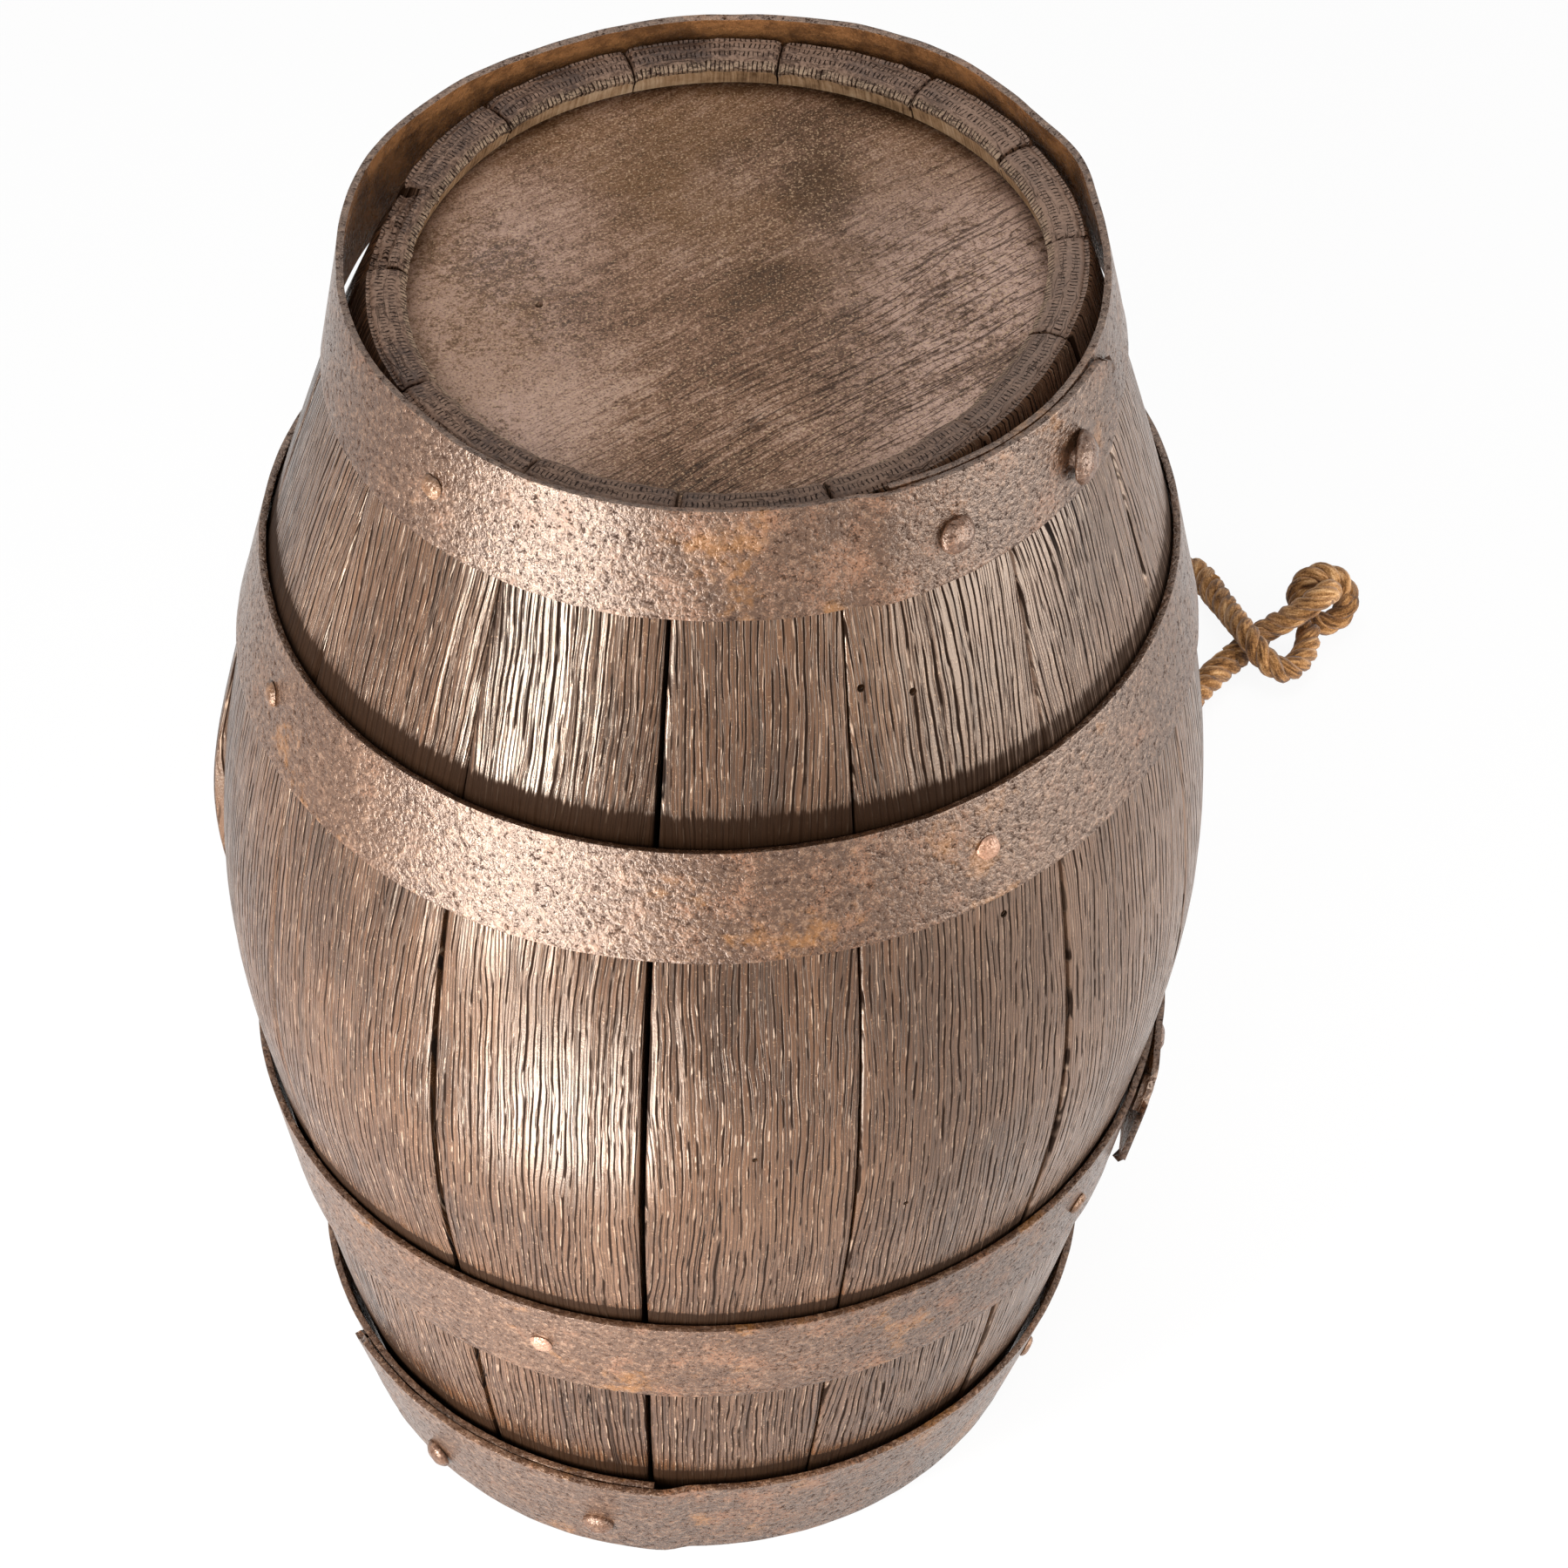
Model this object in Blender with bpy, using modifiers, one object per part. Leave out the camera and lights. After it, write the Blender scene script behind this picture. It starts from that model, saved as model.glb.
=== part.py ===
"""Old wooden keg: fourteen oak staves, two heads, four lapped iron hoops with rivets and nails, a bung
in the back, and a carrying rope rove through an iron staple.

Metres, +Z up; the photographed side faces -Y."""
import math

import bmesh
import bpy
from mathutils import Matrix, Vector

# Barrel
KEG_HEIGHT = 0.410
BILGE_RADIUS = 0.1367
END_RADIUS = 0.0972
BEND_SOFTNESS = 0.5  # small: the staves bend sharply at the bilge, large: along their whole length
RACK = 0.039  # how far an old keg's top has slid towards +X, as a share of height

# Staves
STAVE_THICKNESS = 0.0115
JOINT_AZIMUTHS = (4, 29, 52, 78.5, 105, 131.5, 155.5, 177, 207, 235, 260.3, 284.5, 312, 339.5)
WIDE_JOINTS = (9, 10)  # which of those joints have dried wide open
JOINT_GAP = math.radians(0.34)
WIDE_JOINT_GAP = math.radians(0.78)
STAVE_LEVELS = 14
STAVE_FACET = math.radians(6.4)
CHIME_EASE = 0.0013
CHIME_BEVEL_WIDTH = 0.0018
CHIME_BEVEL_HEIGHT = 0.005
PROUD_STAVE = 6  # this one bulges out between the two middle hoops
PROUD_BY = 0.0034
PROUD_CLEAR = 0.004  # the bulge starts this far from those hoops
BROKEN_DEPTH = 0.006
BROKEN_SHARE = 0.52  # of the stave's thickness, measured from its outer face

# Heads
HEAD_DEPTH = 0.0093  # from the chime's end down to the head's face
HEAD_THICKNESS = 0.011
TONGUE_THICKNESS = 0.004
TONGUE_LENGTH = 0.0035
HEAD_BEVEL_LENGTH = 0.012
HEAD_REVEAL = 0.0020  # the flat outer face ends this far inside the bore, so that a plate can be laid on it
HEAD_EASE = 0.0006
CROZE_DEPTH = 0.0042
HEAD_FACETS = 56

# Hoops: each one's width and place along the keg
HOOP_THICKNESS = 0.0019
HOOP_FIT = 0.0006  # at the lower edge, between iron and wood
HOOP_STAND = 0.0014  # more than that, at the upper edge
HOOP_FACET = math.radians(5.6)
JOGGLE = math.radians(6)
LAYER_GAP = 0.0003
CORNER_CLIP = 0.008
TOP_HOOP_WIDTH = 0.0300
TOP_RIM_STANDS = 0.0035  # above the staves' ends
UPPER_HOOP_WIDTH = 0.0325
UPPER_HOOP_PLACE = 0.7433  # its middle, as a share of the keg's height
LOWER_HOOP_WIDTH = 0.0380
LOWER_HOOP_PLACE = 0.2951
FOOT_HOOP_WIDTH = 0.0435
FOOT_HOOP_CLEAR = 0.0015  # above the floor


def band(low, width, **more):
    return dict(low=low, high=low + width, **more)


# Where the lapped end lies, the lap (degrees) and which way it turns. Rivets: degrees back from the end,
# height as a share of the hoop's width, and head radius. Nails: their azimuths.
HOOPS = {
    "hoop_1_top_chime": band(KEG_HEIGHT + TOP_RIM_STANDS - TOP_HOOP_WIDTH, TOP_HOOP_WIDTH,
                             end=-22, lap=46, turn=1,
                             rivets=((13.5, 0.38, 0.0069), (37, 0.42, 0.0052)), nails=(222, 100)),
    "hoop_2_upper_bilge": band(KEG_HEIGHT * UPPER_HOOP_PLACE - UPPER_HOOP_WIDTH / 2, UPPER_HOOP_WIDTH,
                               end=140, lap=46, turn=1,
                               rivets=((12, 0.5, 0.0056), (36, 0.5, 0.0052)), nails=(301, 200)),
    "hoop_3_lower_bilge": band(KEG_HEIGHT * LOWER_HOOP_PLACE - LOWER_HOOP_WIDTH / 2, LOWER_HOOP_WIDTH,
                               end=-23, lap=44, turn=-1,
                               rivets=((16, 0.57, 0.0066), (34, 0.5, 0.0052)), nails=(247, 324, 110)),
    "hoop_4_bottom_chime": band(FOOT_HOOP_CLEAR, FOOT_HOOP_WIDTH, end=-157, lap=58, turn=-1,
                                rivets=((18.5, 0.25, 0.0047), (49, 0.37, 0.0048)), nails=(200, 333, 80)),
}
# Where the top hoop's free rim has been bent away from the chime: middle, half width (degrees), distance
TOP_RIM_BENDS = ((182, 42, 0.0032), (325, 40, 0.0030), (70, 14, 0.0012), (20, 13, 0.0013),
                 (268, 18, -0.0006))

# Rivets and nails
RIVET_DOME = 0.58  # a head's height as a share of its radius
RIVET_SHANK_RADIUS = 0.0022
NAIL_HEAD_RADIUS = 0.0034
NAIL_HEAD_HEIGHT = 0.0014
NAIL_SHANK_RADIUS = 0.0012
NAIL_DEPTH = 0.008
HOLE_PLAY = 0.0004
SEAT = 0.0003
PIN_SIDES = 10

# Bung, in the back stave at half height
BUNG_AZIMUTH = 90
BUNG_HOLE_RADIUS = 0.0145  # at the wood's outer face
BUNG_TAPER = 0.07
BUNG_DRIVEN = 0.0063  # how far into the stave
BUNG_PROUD = 0.011
BUNG_EDGE = 0.0015
BUNG_SIDES = 32

# Staple on the upper bilge hoop, with the rope's eye inside it
STAPLE_HOOP = "hoop_2_upper_bilge"
STAPLE_AZIMUTH = 62
STAPLE_ROD = 0.0042
STAPLE_EYE_HEIGHT = 0.0175
STAPLE_EYE_DEPTH = 0.0135
STAPLE_ROOT = 0.008

# Rope
ROPE_DIAMETER = 0.010
ROPE_SPACING = 0.024
ROPE_OFF_FLOOR = 0.0004
BIGHT_HALF_LENGTH = 0.012
KNOT_ROPE_RADIUS = 0.0045
KNOT_RING_RADIUS = 0.0085
KNOT_RING_CENTRE = (0.2241, 0.2786, 0.0106)
KNOT_RING_TILT = math.radians(44)
# Free strands, hanging from the staple's eye: azimuth (degrees), distance from the wood's face to the
# rope's middle, height as a share of the keg's; then where each lies on the floor
HANG_A = ((76.55, 0.0132, 0.6805), (78.60, 0.0131, 0.5732), (78.74, 0.0181, 0.4146),
          (78.00, 0.0325, 0.2439), (77.22, 0.0522, 0.1024), (76.25, 0.0789, 0.0268))
LIE_A = ((0.0590, 0.2080), (0.0860, 0.2560), (0.1200, 0.2960), (0.1530, 0.3110))
HANG_B = ((50.85, 0.0107, 0.6805), (48.67, 0.0101, 0.5732), (47.33, 0.0154, 0.4146),
          (46.68, 0.0310, 0.2439), (46.81, 0.0512, 0.1024), (48.40, 0.0776, 0.0268))
LIE_B = ((0.1330, 0.1640), (0.1520, 0.1990), (0.1700, 0.2310))
# The knot's two tucked ends, drawn where it lies
KNOT_A = ((0.1865, 0.2911, 0.0062), (0.1910, 0.2762, 0.0095), (0.1961, 0.2581, 0.0142),
          (0.2010, 0.2499, 0.0112), (0.2079, 0.2482, 0.0070), (0.2148, 0.2557, 0.0053),
          (0.2179, 0.2650, 0.0051), (0.2180, 0.2712, 0.0056))
KNOT_B = ((0.1907, 0.2562, 0.0053), (0.1982, 0.2640, 0.0050), (0.2045, 0.2684, 0.0072),
          (0.2097, 0.2678, 0.0115), (0.2154, 0.2675, 0.0165), (0.2208, 0.2687, 0.0203),
          (0.2248, 0.2722, 0.0200), (0.2262, 0.2771, 0.0150))

MERGE = 0.00001  # points closer than this are one

NODES = bpy.data.collections.new("keg")
CUTTERS = bpy.data.collections.new("keg_cutters")


def clear_scene():
    for obj in list(bpy.data.objects):
        bpy.data.objects.remove(obj)
    bpy.context.scene.collection.children.link(NODES)
    bpy.context.scene.collection.children.link(CUTTERS)


def material(name, colour, roughness, metallic=0.0):
    mat = bpy.data.materials.new(name)
    mat.use_nodes = True
    shader = mat.node_tree.nodes["Principled BSDF"]
    shader.inputs["Base Color"].default_value = (*colour, 1.0)
    shader.inputs["Roughness"].default_value = roughness
    shader.inputs["Metallic"].default_value = metallic
    return mat


def new_object(name, mesh, mat, collection=None):
    obj = bpy.data.objects.new(name, mesh)
    (collection or NODES).objects.link(obj)
    if mat:
        mesh.materials.append(mat)
    return obj


def aim(obj, place, direction):
    """Puts an object at this place with its own Z along this direction."""
    obj.location = place
    obj.rotation_mode = "QUATERNION"
    obj.rotation_quaternion = direction.to_track_quat("Z", "Y")


def mesh_from(bm, name):
    bmesh.ops.recalc_face_normals(bm, faces=bm.faces)
    mesh = bpy.data.meshes.new(name)
    bm.to_mesh(mesh)
    bm.free()
    return mesh


# The keg's own surfaces

def barrel_radius(z):
    """Radius of the wood's outer face: nearly straight towards the ends, bent round the bilge."""
    s = 2 * z / KEG_HEIGHT - 1
    share = (math.hypot(s, BEND_SOFTNESS) - BEND_SOFTNESS) / (math.hypot(1, BEND_SOFTNESS) - BEND_SOFTNESS)
    return BILGE_RADIUS - (BILGE_RADIUS - END_RADIUS) * share


def axis_x(z):
    """Where the racked keg's axis stands at this height."""
    return RACK * z


def around(azimuth, radius, z):
    """A point at this azimuth (radians) and radius from the racked axis."""
    return Vector((axis_x(z) + radius * math.cos(azimuth), radius * math.sin(azimuth), z))


def proud(z):
    start = HOOPS["hoop_3_lower_bilge"]["high"] + PROUD_CLEAR
    stop = HOOPS["hoop_2_upper_bilge"]["low"] - PROUD_CLEAR
    if not start < z < stop:
        return 0.0
    return PROUD_BY * math.sin(math.pi * (z - start) / (stop - start)) ** 2


def croze_levels():
    """The croze's two edges for the top head, as heights; the bottom head's mirror them."""
    face = KEG_HEIGHT - HEAD_DEPTH
    return face - TONGUE_THICKNESS - SEAT, face + SEAT


def stave_profile(is_proud):
    """The stave's closed outline as (radius, height), up its outer side and down its inner side."""
    levels = [KEG_HEIGHT * i / STAVE_LEVELS for i in range(STAVE_LEVELS + 1)]
    extra = proud if is_proud else (lambda z: 0.0)
    croze_low, croze_high = croze_levels()
    outer = [(barrel_radius(0) - CHIME_EASE, 0), (barrel_radius(CHIME_EASE), CHIME_EASE)]
    outer += [(barrel_radius(z) + extra(z), z) for z in levels[1:-1]]
    end = barrel_radius(KEG_HEIGHT)
    if is_proud:
        step = end - STAVE_THICKNESS * BROKEN_SHARE
        outer += [(barrel_radius(KEG_HEIGHT - BROKEN_DEPTH), KEG_HEIGHT - BROKEN_DEPTH),
                  (step, KEG_HEIGHT - BROKEN_DEPTH * 0.8), (step - CHIME_EASE, KEG_HEIGHT)]
    else:
        outer += [(barrel_radius(KEG_HEIGHT - CHIME_EASE), KEG_HEIGHT - CHIME_EASE),
                  (end - CHIME_EASE, KEG_HEIGHT)]

    def inside(z, deeper=0.0):
        return barrel_radius(z) + extra(z) - STAVE_THICKNESS + deeper

    upper = [(inside(KEG_HEIGHT, CHIME_BEVEL_WIDTH), KEG_HEIGHT),
             (inside(KEG_HEIGHT - CHIME_BEVEL_HEIGHT), KEG_HEIGHT - CHIME_BEVEL_HEIGHT),
             (inside(croze_high), croze_high), (inside(croze_high, CROZE_DEPTH), croze_high),
             (inside(croze_low, CROZE_DEPTH), croze_low), (inside(croze_low), croze_low)]
    lower = [(r, KEG_HEIGHT - z) for r, z in reversed(upper)]
    middle = [(inside(z), z) for z in reversed(levels) if lower[0][1] + SEAT < z < croze_low - SEAT]
    return outer + upper + middle + lower


def make_stave(index, mat):
    """A stave is its outline turned through its own angle about the keg's axis, closed at both joints."""
    count = len(JOINT_AZIMUTHS)
    following = (index + 1) % count
    gaps = [WIDE_JOINT_GAP if i in WIDE_JOINTS else JOINT_GAP for i in (index, following)]
    start = math.radians(JOINT_AZIMUTHS[index]) + gaps[0] / 2
    stop = math.radians(JOINT_AZIMUTHS[following] + (360 if following == 0 else 0)) - gaps[1] / 2
    bm = bmesh.new()
    outline = [bm.verts.new((r, 0, z)) for r, z in stave_profile(index == PROUD_STAVE)]
    edges = [bm.edges.new((a, b)) for a, b in zip(outline, outline[1:] + outline[:1])]
    bmesh.ops.rotate(bm, verts=outline, cent=(0, 0, 0), matrix=Matrix.Rotation(start, 3, "Z"))
    steps = max(2, round((stop - start) / STAVE_FACET))
    turned = bmesh.ops.spin(bm, geom=outline + edges, cent=(0, 0, 0), axis=(0, 0, 1), angle=stop - start,
                            steps=steps, use_duplicate=False)
    last_edges = [e for e in turned["geom_last"] if isinstance(e, bmesh.types.BMEdge)]
    for loop in (edges, last_edges):
        bmesh.ops.edgeloop_fill(bm, edges=loop)
    for v in bm.verts:
        v.co.x += axis_x(v.co.z)
    return new_object(f"stave_{index + 1:02d}", mesh_from(bm, "stave"), mat)


def turned(name, profile, facets, mat):
    """An object turned on Z from its half outline of (radius, height), from the axis back to the axis."""
    bm = bmesh.new()
    points = [bm.verts.new((r, 0, z)) for r, z in profile]
    for a, b in zip(points, points[1:]):
        bm.edges.new((a, b))
    mesh = bpy.data.meshes.new(name)
    bm.to_mesh(mesh)
    bm.free()
    obj = new_object(name, mesh, mat)
    turn = obj.modifiers.new("turn", "SCREW")
    turn.axis = "Z"
    turn.steps = turn.render_steps = facets
    turn.use_merge_vertices = True
    turn.merge_threshold = MERGE
    return obj


def make_head(name, mat, flip):
    """A turned board: flat outer face, bevelled on its inner side to a tongue that sits in the croze."""
    face = KEG_HEIGHT - HEAD_DEPTH
    bore = barrel_radius(face) - STAVE_THICKNESS
    rim = bore + TONGUE_LENGTH
    obj = turned(name, [(0, 0), (bore - HEAD_REVEAL, 0), (rim, -HEAD_EASE), (rim, -TONGUE_THICKNESS),
                        (bore - SEAT, -TONGUE_THICKNESS), (bore - HEAD_BEVEL_LENGTH, -HEAD_THICKNESS),
                        (0, -HEAD_THICKNESS)], HEAD_FACETS, mat)
    height = KEG_HEIGHT - face if flip else face
    obj.location = (axis_x(height), 0, height)
    if flip:
        obj.rotation_euler = (math.pi, 0, 0)
    return obj


# Hoops

def hoop_bend(name, azimuth):
    """How far the top hoop's free rim stands out from its even turn."""
    if name != "hoop_1_top_chime":
        return 0.0
    total = 0.0
    for middle, half, distance in TOP_RIM_BENDS:
        off = (math.degrees(azimuth) - middle + 180) % 360 - 180
        if abs(off) < half:
            total += distance * (0.5 + 0.5 * math.cos(math.pi * off / half))
    return total


def hoop_inside(name, azimuth, z, layer=0.0):
    """Inner radius of a hoop's iron, straight from its lower to its upper edge; layer runs from 0 for the
    under layer to 1 for the lapped one."""
    hoop = HOOPS[name]
    rise = (z - hoop["low"]) / (hoop["high"] - hoop["low"])
    low = barrel_radius(hoop["low"]) + HOOP_FIT
    high = barrel_radius(min(hoop["high"], KEG_HEIGHT)) + HOOP_FIT + HOOP_STAND + hoop_bend(name, azimuth)
    return low + rise * (high - low) + layer * (HOOP_THICKNESS + LAYER_GAP)


def make_hoop(name, mat):
    """A strap: a flat grid rolled round the keg, lapped over its own beginning, then thickened."""
    hoop = HOOPS[name]
    lap, turn = math.radians(hoop["lap"]), hoop["turn"]
    length = 2 * math.pi + lap
    finish = math.radians(hoop["end"])
    steps = round(length / HOOP_FACET)
    middle_radius = barrel_radius((hoop["low"] + hoop["high"]) / 2)
    bm = bmesh.new()
    bmesh.ops.create_grid(bm, x_segments=steps, y_segments=1, size=0.5)
    for v in bm.verts:
        along, rise = (v.co.x + 0.5) * length, v.co.y + 0.5
        before_end = length - along
        layer = min(1.0, max(0.0, (along - (2 * math.pi - JOGGLE)) / (JOGGLE * 0.85)))
        clip = max(0.0, CORNER_CLIP - before_end * middle_radius) / (hoop["high"] - hoop["low"])
        rise = min(1 - clip, max(clip, rise))
        azimuth = finish - turn * before_end
        z = hoop["low"] + rise * (hoop["high"] - hoop["low"])
        v.co = around(azimuth, hoop_inside(name, azimuth, z, layer * layer * (3 - 2 * layer)), z)
    mesh = mesh_from(bm, name)
    centre = Vector((axis_x(hoop["low"]), 0, hoop["low"]))
    if (mesh.polygons[0].center - centre).dot(mesh.polygons[0].normal) < 0:
        mesh.flip_normals()
    obj = new_object(name, mesh, mat)
    skin = obj.modifiers.new("iron", "SOLIDIFY")
    skin.thickness = HOOP_THICKNESS
    skin.offset = 1.0
    return obj


def hoop_normal(name, azimuth):
    """Outward direction square to the hoop's face, at its middle height."""
    hoop = HOOPS[name]
    fall = (hoop_inside(name, azimuth, hoop["low"]) - hoop_inside(name, azimuth, hoop["high"])) / (
        hoop["high"] - hoop["low"])
    return Vector((math.cos(azimuth), math.sin(azimuth), fall - RACK * math.cos(azimuth))).normalized()


def make_pin(name, radius, height, shank, depth, mat, place, outward):
    """A turned pin: domed head above its seat, straight shank below it."""
    dome = [(radius * math.sin(a), height * math.cos(a)) for a in (0, 0.6, 1.15)]
    obj = turned(name, dome + [(radius, 0), (shank, 0), (shank, -depth), (0, -depth)], PIN_SIDES, mat)
    aim(obj, place, outward)


def cylinder_cutter(name, radius, start, end, radius_end=None):
    """A closed cylinder or cone from start to end, kept for cutting."""
    start, end = Vector(start), Vector(end)
    bm = bmesh.new()
    sides = BUNG_SIDES if radius > NAIL_HEAD_RADIUS else PIN_SIDES
    bmesh.ops.create_cone(bm, cap_ends=True, segments=sides, radius1=radius,
                          radius2=radius if radius_end is None else radius_end, depth=(end - start).length)
    obj = new_object(name, mesh_from(bm, name), None, CUTTERS)
    aim(obj, (start + end) / 2, end - start)
    obj.hide_render = True
    obj.display_type = "WIRE"
    return obj


def cut(obj, cutter):
    boolean = obj.modifiers.new(cutter.name, "BOOLEAN")
    boolean.operation = "DIFFERENCE"
    boolean.object = cutter


def stave_at(azimuth_degrees):
    """Number of the stave that covers this azimuth."""
    azimuth = azimuth_degrees % 360
    later = [i for i, joint in enumerate(JOINT_AZIMUTHS) if joint <= azimuth]
    return (later[-1] if later else len(JOINT_AZIMUTHS) - 1)


def layer_thickness(layers):
    return layers * HOOP_THICKNESS + (layers - 1) * LAYER_GAP


def fasten_hoop(name, hoop_obj, staves, mat):
    hoop = HOOPS[name]
    for number, (back, share, radius) in enumerate(hoop["rivets"]):
        azimuth = math.radians(hoop["end"] - hoop["turn"] * back)
        z = hoop["low"] + share * (hoop["high"] - hoop["low"])
        outward = hoop_normal(name, azimuth)
        inner = around(azimuth, hoop_inside(name, azimuth, z), z)
        stack = layer_thickness(2)
        seat = inner + outward * (stack + SEAT)
        make_pin(f"{name}_rivet_{number + 1}", radius, radius * RIVET_DOME, RIVET_SHANK_RADIUS,
                 stack + SEAT, mat, seat, outward)
        cut(hoop_obj, cylinder_cutter(f"{name}_rivet_hole_{number + 1}", RIVET_SHANK_RADIUS + HOLE_PLAY,
                                      inner - outward * HOOP_STAND, seat + outward * RIVET_SHANK_RADIUS))
    z = (hoop["low"] + hoop["high"]) / 2
    for number, degrees in enumerate(hoop["nails"]):
        azimuth = math.radians(degrees)
        outward = hoop_normal(name, azimuth)
        inner = around(azimuth, hoop_inside(name, azimuth, z), z)
        seat = inner + outward * (layer_thickness(1) + SEAT)
        depth = (seat - inner).length + NAIL_DEPTH
        make_pin(f"{name}_nail_{number + 1}", NAIL_HEAD_RADIUS, NAIL_HEAD_HEIGHT, NAIL_SHANK_RADIUS,
                 depth, mat, seat, outward)
        hole = cylinder_cutter(f"{name}_nail_hole_{number + 1}", NAIL_SHANK_RADIUS + HOLE_PLAY,
                               seat - outward * (depth + HOLE_PLAY), seat + outward * NAIL_HEAD_HEIGHT)
        cut(hoop_obj, hole)
        cut(staves[stave_at(degrees)], hole)


# Bung and staple

def make_bung(stave, mat):
    """A tapered plug, lying on its side; its origin is on the wood's outer face, on the bung's axis."""
    z = KEG_HEIGHT / 2
    azimuth = math.radians(BUNG_AZIMUTH)
    outward = Vector((math.cos(azimuth), math.sin(azimuth), 0))
    face = around(azimuth, barrel_radius(z), z)
    inner_end = -BUNG_DRIVEN

    def radius(x):
        return BUNG_HOLE_RADIUS - SEAT + BUNG_TAPER * x

    obj = turned("bung", [(0, BUNG_PROUD), (radius(BUNG_PROUD) - BUNG_EDGE, BUNG_PROUD),
                          (radius(BUNG_PROUD), BUNG_PROUD - BUNG_EDGE),
                          (radius(inner_end + BUNG_EDGE), inner_end + BUNG_EDGE),
                          (radius(inner_end) - BUNG_EDGE, inner_end), (0, inner_end)], BUNG_SIDES, mat)
    aim(obj, face, outward)
    reach = STAVE_THICKNESS * 2
    cut(stave, cylinder_cutter("bung_hole", BUNG_HOLE_RADIUS - BUNG_TAPER * reach, face - outward * reach,
                               face + outward * reach, BUNG_HOLE_RADIUS + BUNG_TAPER * reach))


def staple_frame():
    """The staple's middle on the hoop's outer face, and the outward, sideways and up directions there."""
    hoop = HOOPS[STAPLE_HOOP]
    azimuth = math.radians(STAPLE_AZIMUTH)
    z = (hoop["low"] + hoop["high"]) / 2
    outward = hoop_normal(STAPLE_HOOP, azimuth)
    sideways = Vector((-math.sin(azimuth), math.cos(azimuth), 0))
    face = around(azimuth, hoop_inside(STAPLE_HOOP, azimuth, z), z) + outward * HOOP_THICKNESS
    return face, outward, sideways, sideways.cross(outward) * -1


def tube(name, points, radius, mat, radii=None, resolution=3, collection=None):
    curve = bpy.data.curves.new(name, "CURVE")
    curve.dimensions = "3D"
    curve.bevel_depth = radius
    curve.bevel_resolution = resolution
    curve.use_fill_caps = True
    curve.twist_mode = "MINIMUM"
    spline = curve.splines.new("POLY")
    spline.points.add(len(points) - 1)
    for i, (point, co) in enumerate(zip(spline.points, points)):
        point.co = (*co, 1.0)
        point.radius = radii[i] if radii else 1.0
    obj = bpy.data.objects.new(name, curve)
    (collection or NODES).objects.link(obj)
    curve.materials.append(mat)
    return obj


def to_mesh(obj):
    """A curve's tube as a closed mesh object in its place, so that it can be cut or joined."""
    bpy.context.view_layer.update()
    evaluated = obj.evaluated_get(bpy.context.evaluated_depsgraph_get())
    mesh = bpy.data.meshes.new_from_object(evaluated)
    bm = bmesh.new()
    bm.from_mesh(mesh)
    bmesh.ops.remove_doubles(bm, verts=bm.verts, dist=MERGE)
    bmesh.ops.recalc_face_normals(bm, faces=bm.faces)
    bm.to_mesh(mesh)
    bm.free()
    name, collection = obj.name, obj.users_collection[0]
    bpy.data.objects.remove(obj)
    new = bpy.data.objects.new(name, mesh)
    collection.objects.link(new)
    return new


def make_staple(hoop_obj, stave, mat):
    """A round rod bent to a U: legs through the hoop and into the stave, one above the other."""
    face, outward, _, up = staple_frame()
    rod = STAPLE_ROD / 2
    half = STAPLE_EYE_HEIGHT / 2 + rod
    top = STAPLE_EYE_DEPTH + rod
    bend = half * 0.8
    root = HOOP_THICKNESS + HOOP_FIT + HOOP_STAND + STAPLE_ROOT
    corner = [(half - bend * (1 - math.cos(a)), top - bend * (1 - math.sin(a)))
              for a in (math.radians(d) for d in range(0, 91, 15))]
    outline = [(half, -root)] + corner + [(-u, w) for u, w in reversed(corner)] + [(-half, -root)]
    points = [face + up * u + outward * w for u, w in outline]
    staple = tube("rope_staple", points, rod, mat, resolution=2)
    for sign, label in ((1, "upper"), (-1, "lower")):
        hole = cylinder_cutter(f"staple_hole_{label}", rod + HOLE_PLAY,
                               face + up * half * sign - outward * (root + HOLE_PLAY),
                               face + up * half * sign + outward * STAPLE_ROD)
        cut(hoop_obj, hole)
        cut(stave, hole)
    return staple


# Rope

def smooth(points, spacing, straight_ends=False):
    """Evenly spaced points on a smooth curve through the route's own points. With straight ends the first
    and last stretch stay straight, so that the tube's ends meet their neighbours squarely."""
    padded = [Vector(p) for p in points]
    if straight_ends:
        route = padded[1:-1]
    else:
        route = padded
        padded = [route[0] * 2 - route[1]] + route + [route[-1] * 2 - route[-2]]
    fine = []
    for p0, p1, p2, p3 in zip(padded, padded[1:], padded[2:], padded[3:]):
        for i in range(24):
            t = i / 24
            fine.append(0.5 * ((2 * p1) + (p2 - p0) * t + (2 * p0 - 5 * p1 + 4 * p2 - p3) * t * t
                               + (3 * p1 - p0 - 3 * p2 + p3) * t ** 3))
    fine.append(route[-1])
    run = [0.0]
    for a, b in zip(fine, fine[1:]):
        run.append(run[-1] + (b - a).length)
    count = max(2, round(run[-1] / spacing))
    even, i = [], 0
    for k in range(count + 1):
        target = run[-1] * k / count
        while i < len(run) - 2 and run[i + 1] < target:
            i += 1
        share = (target - run[i]) / max(run[i + 1] - run[i], 1e-9)
        even.append(fine[i].lerp(fine[i + 1], share))
    if straight_ends:
        even = [padded[0]] + even + [padded[-1]]
    return even, sum((b - a).length for a, b in zip(even, even[1:]))


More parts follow.
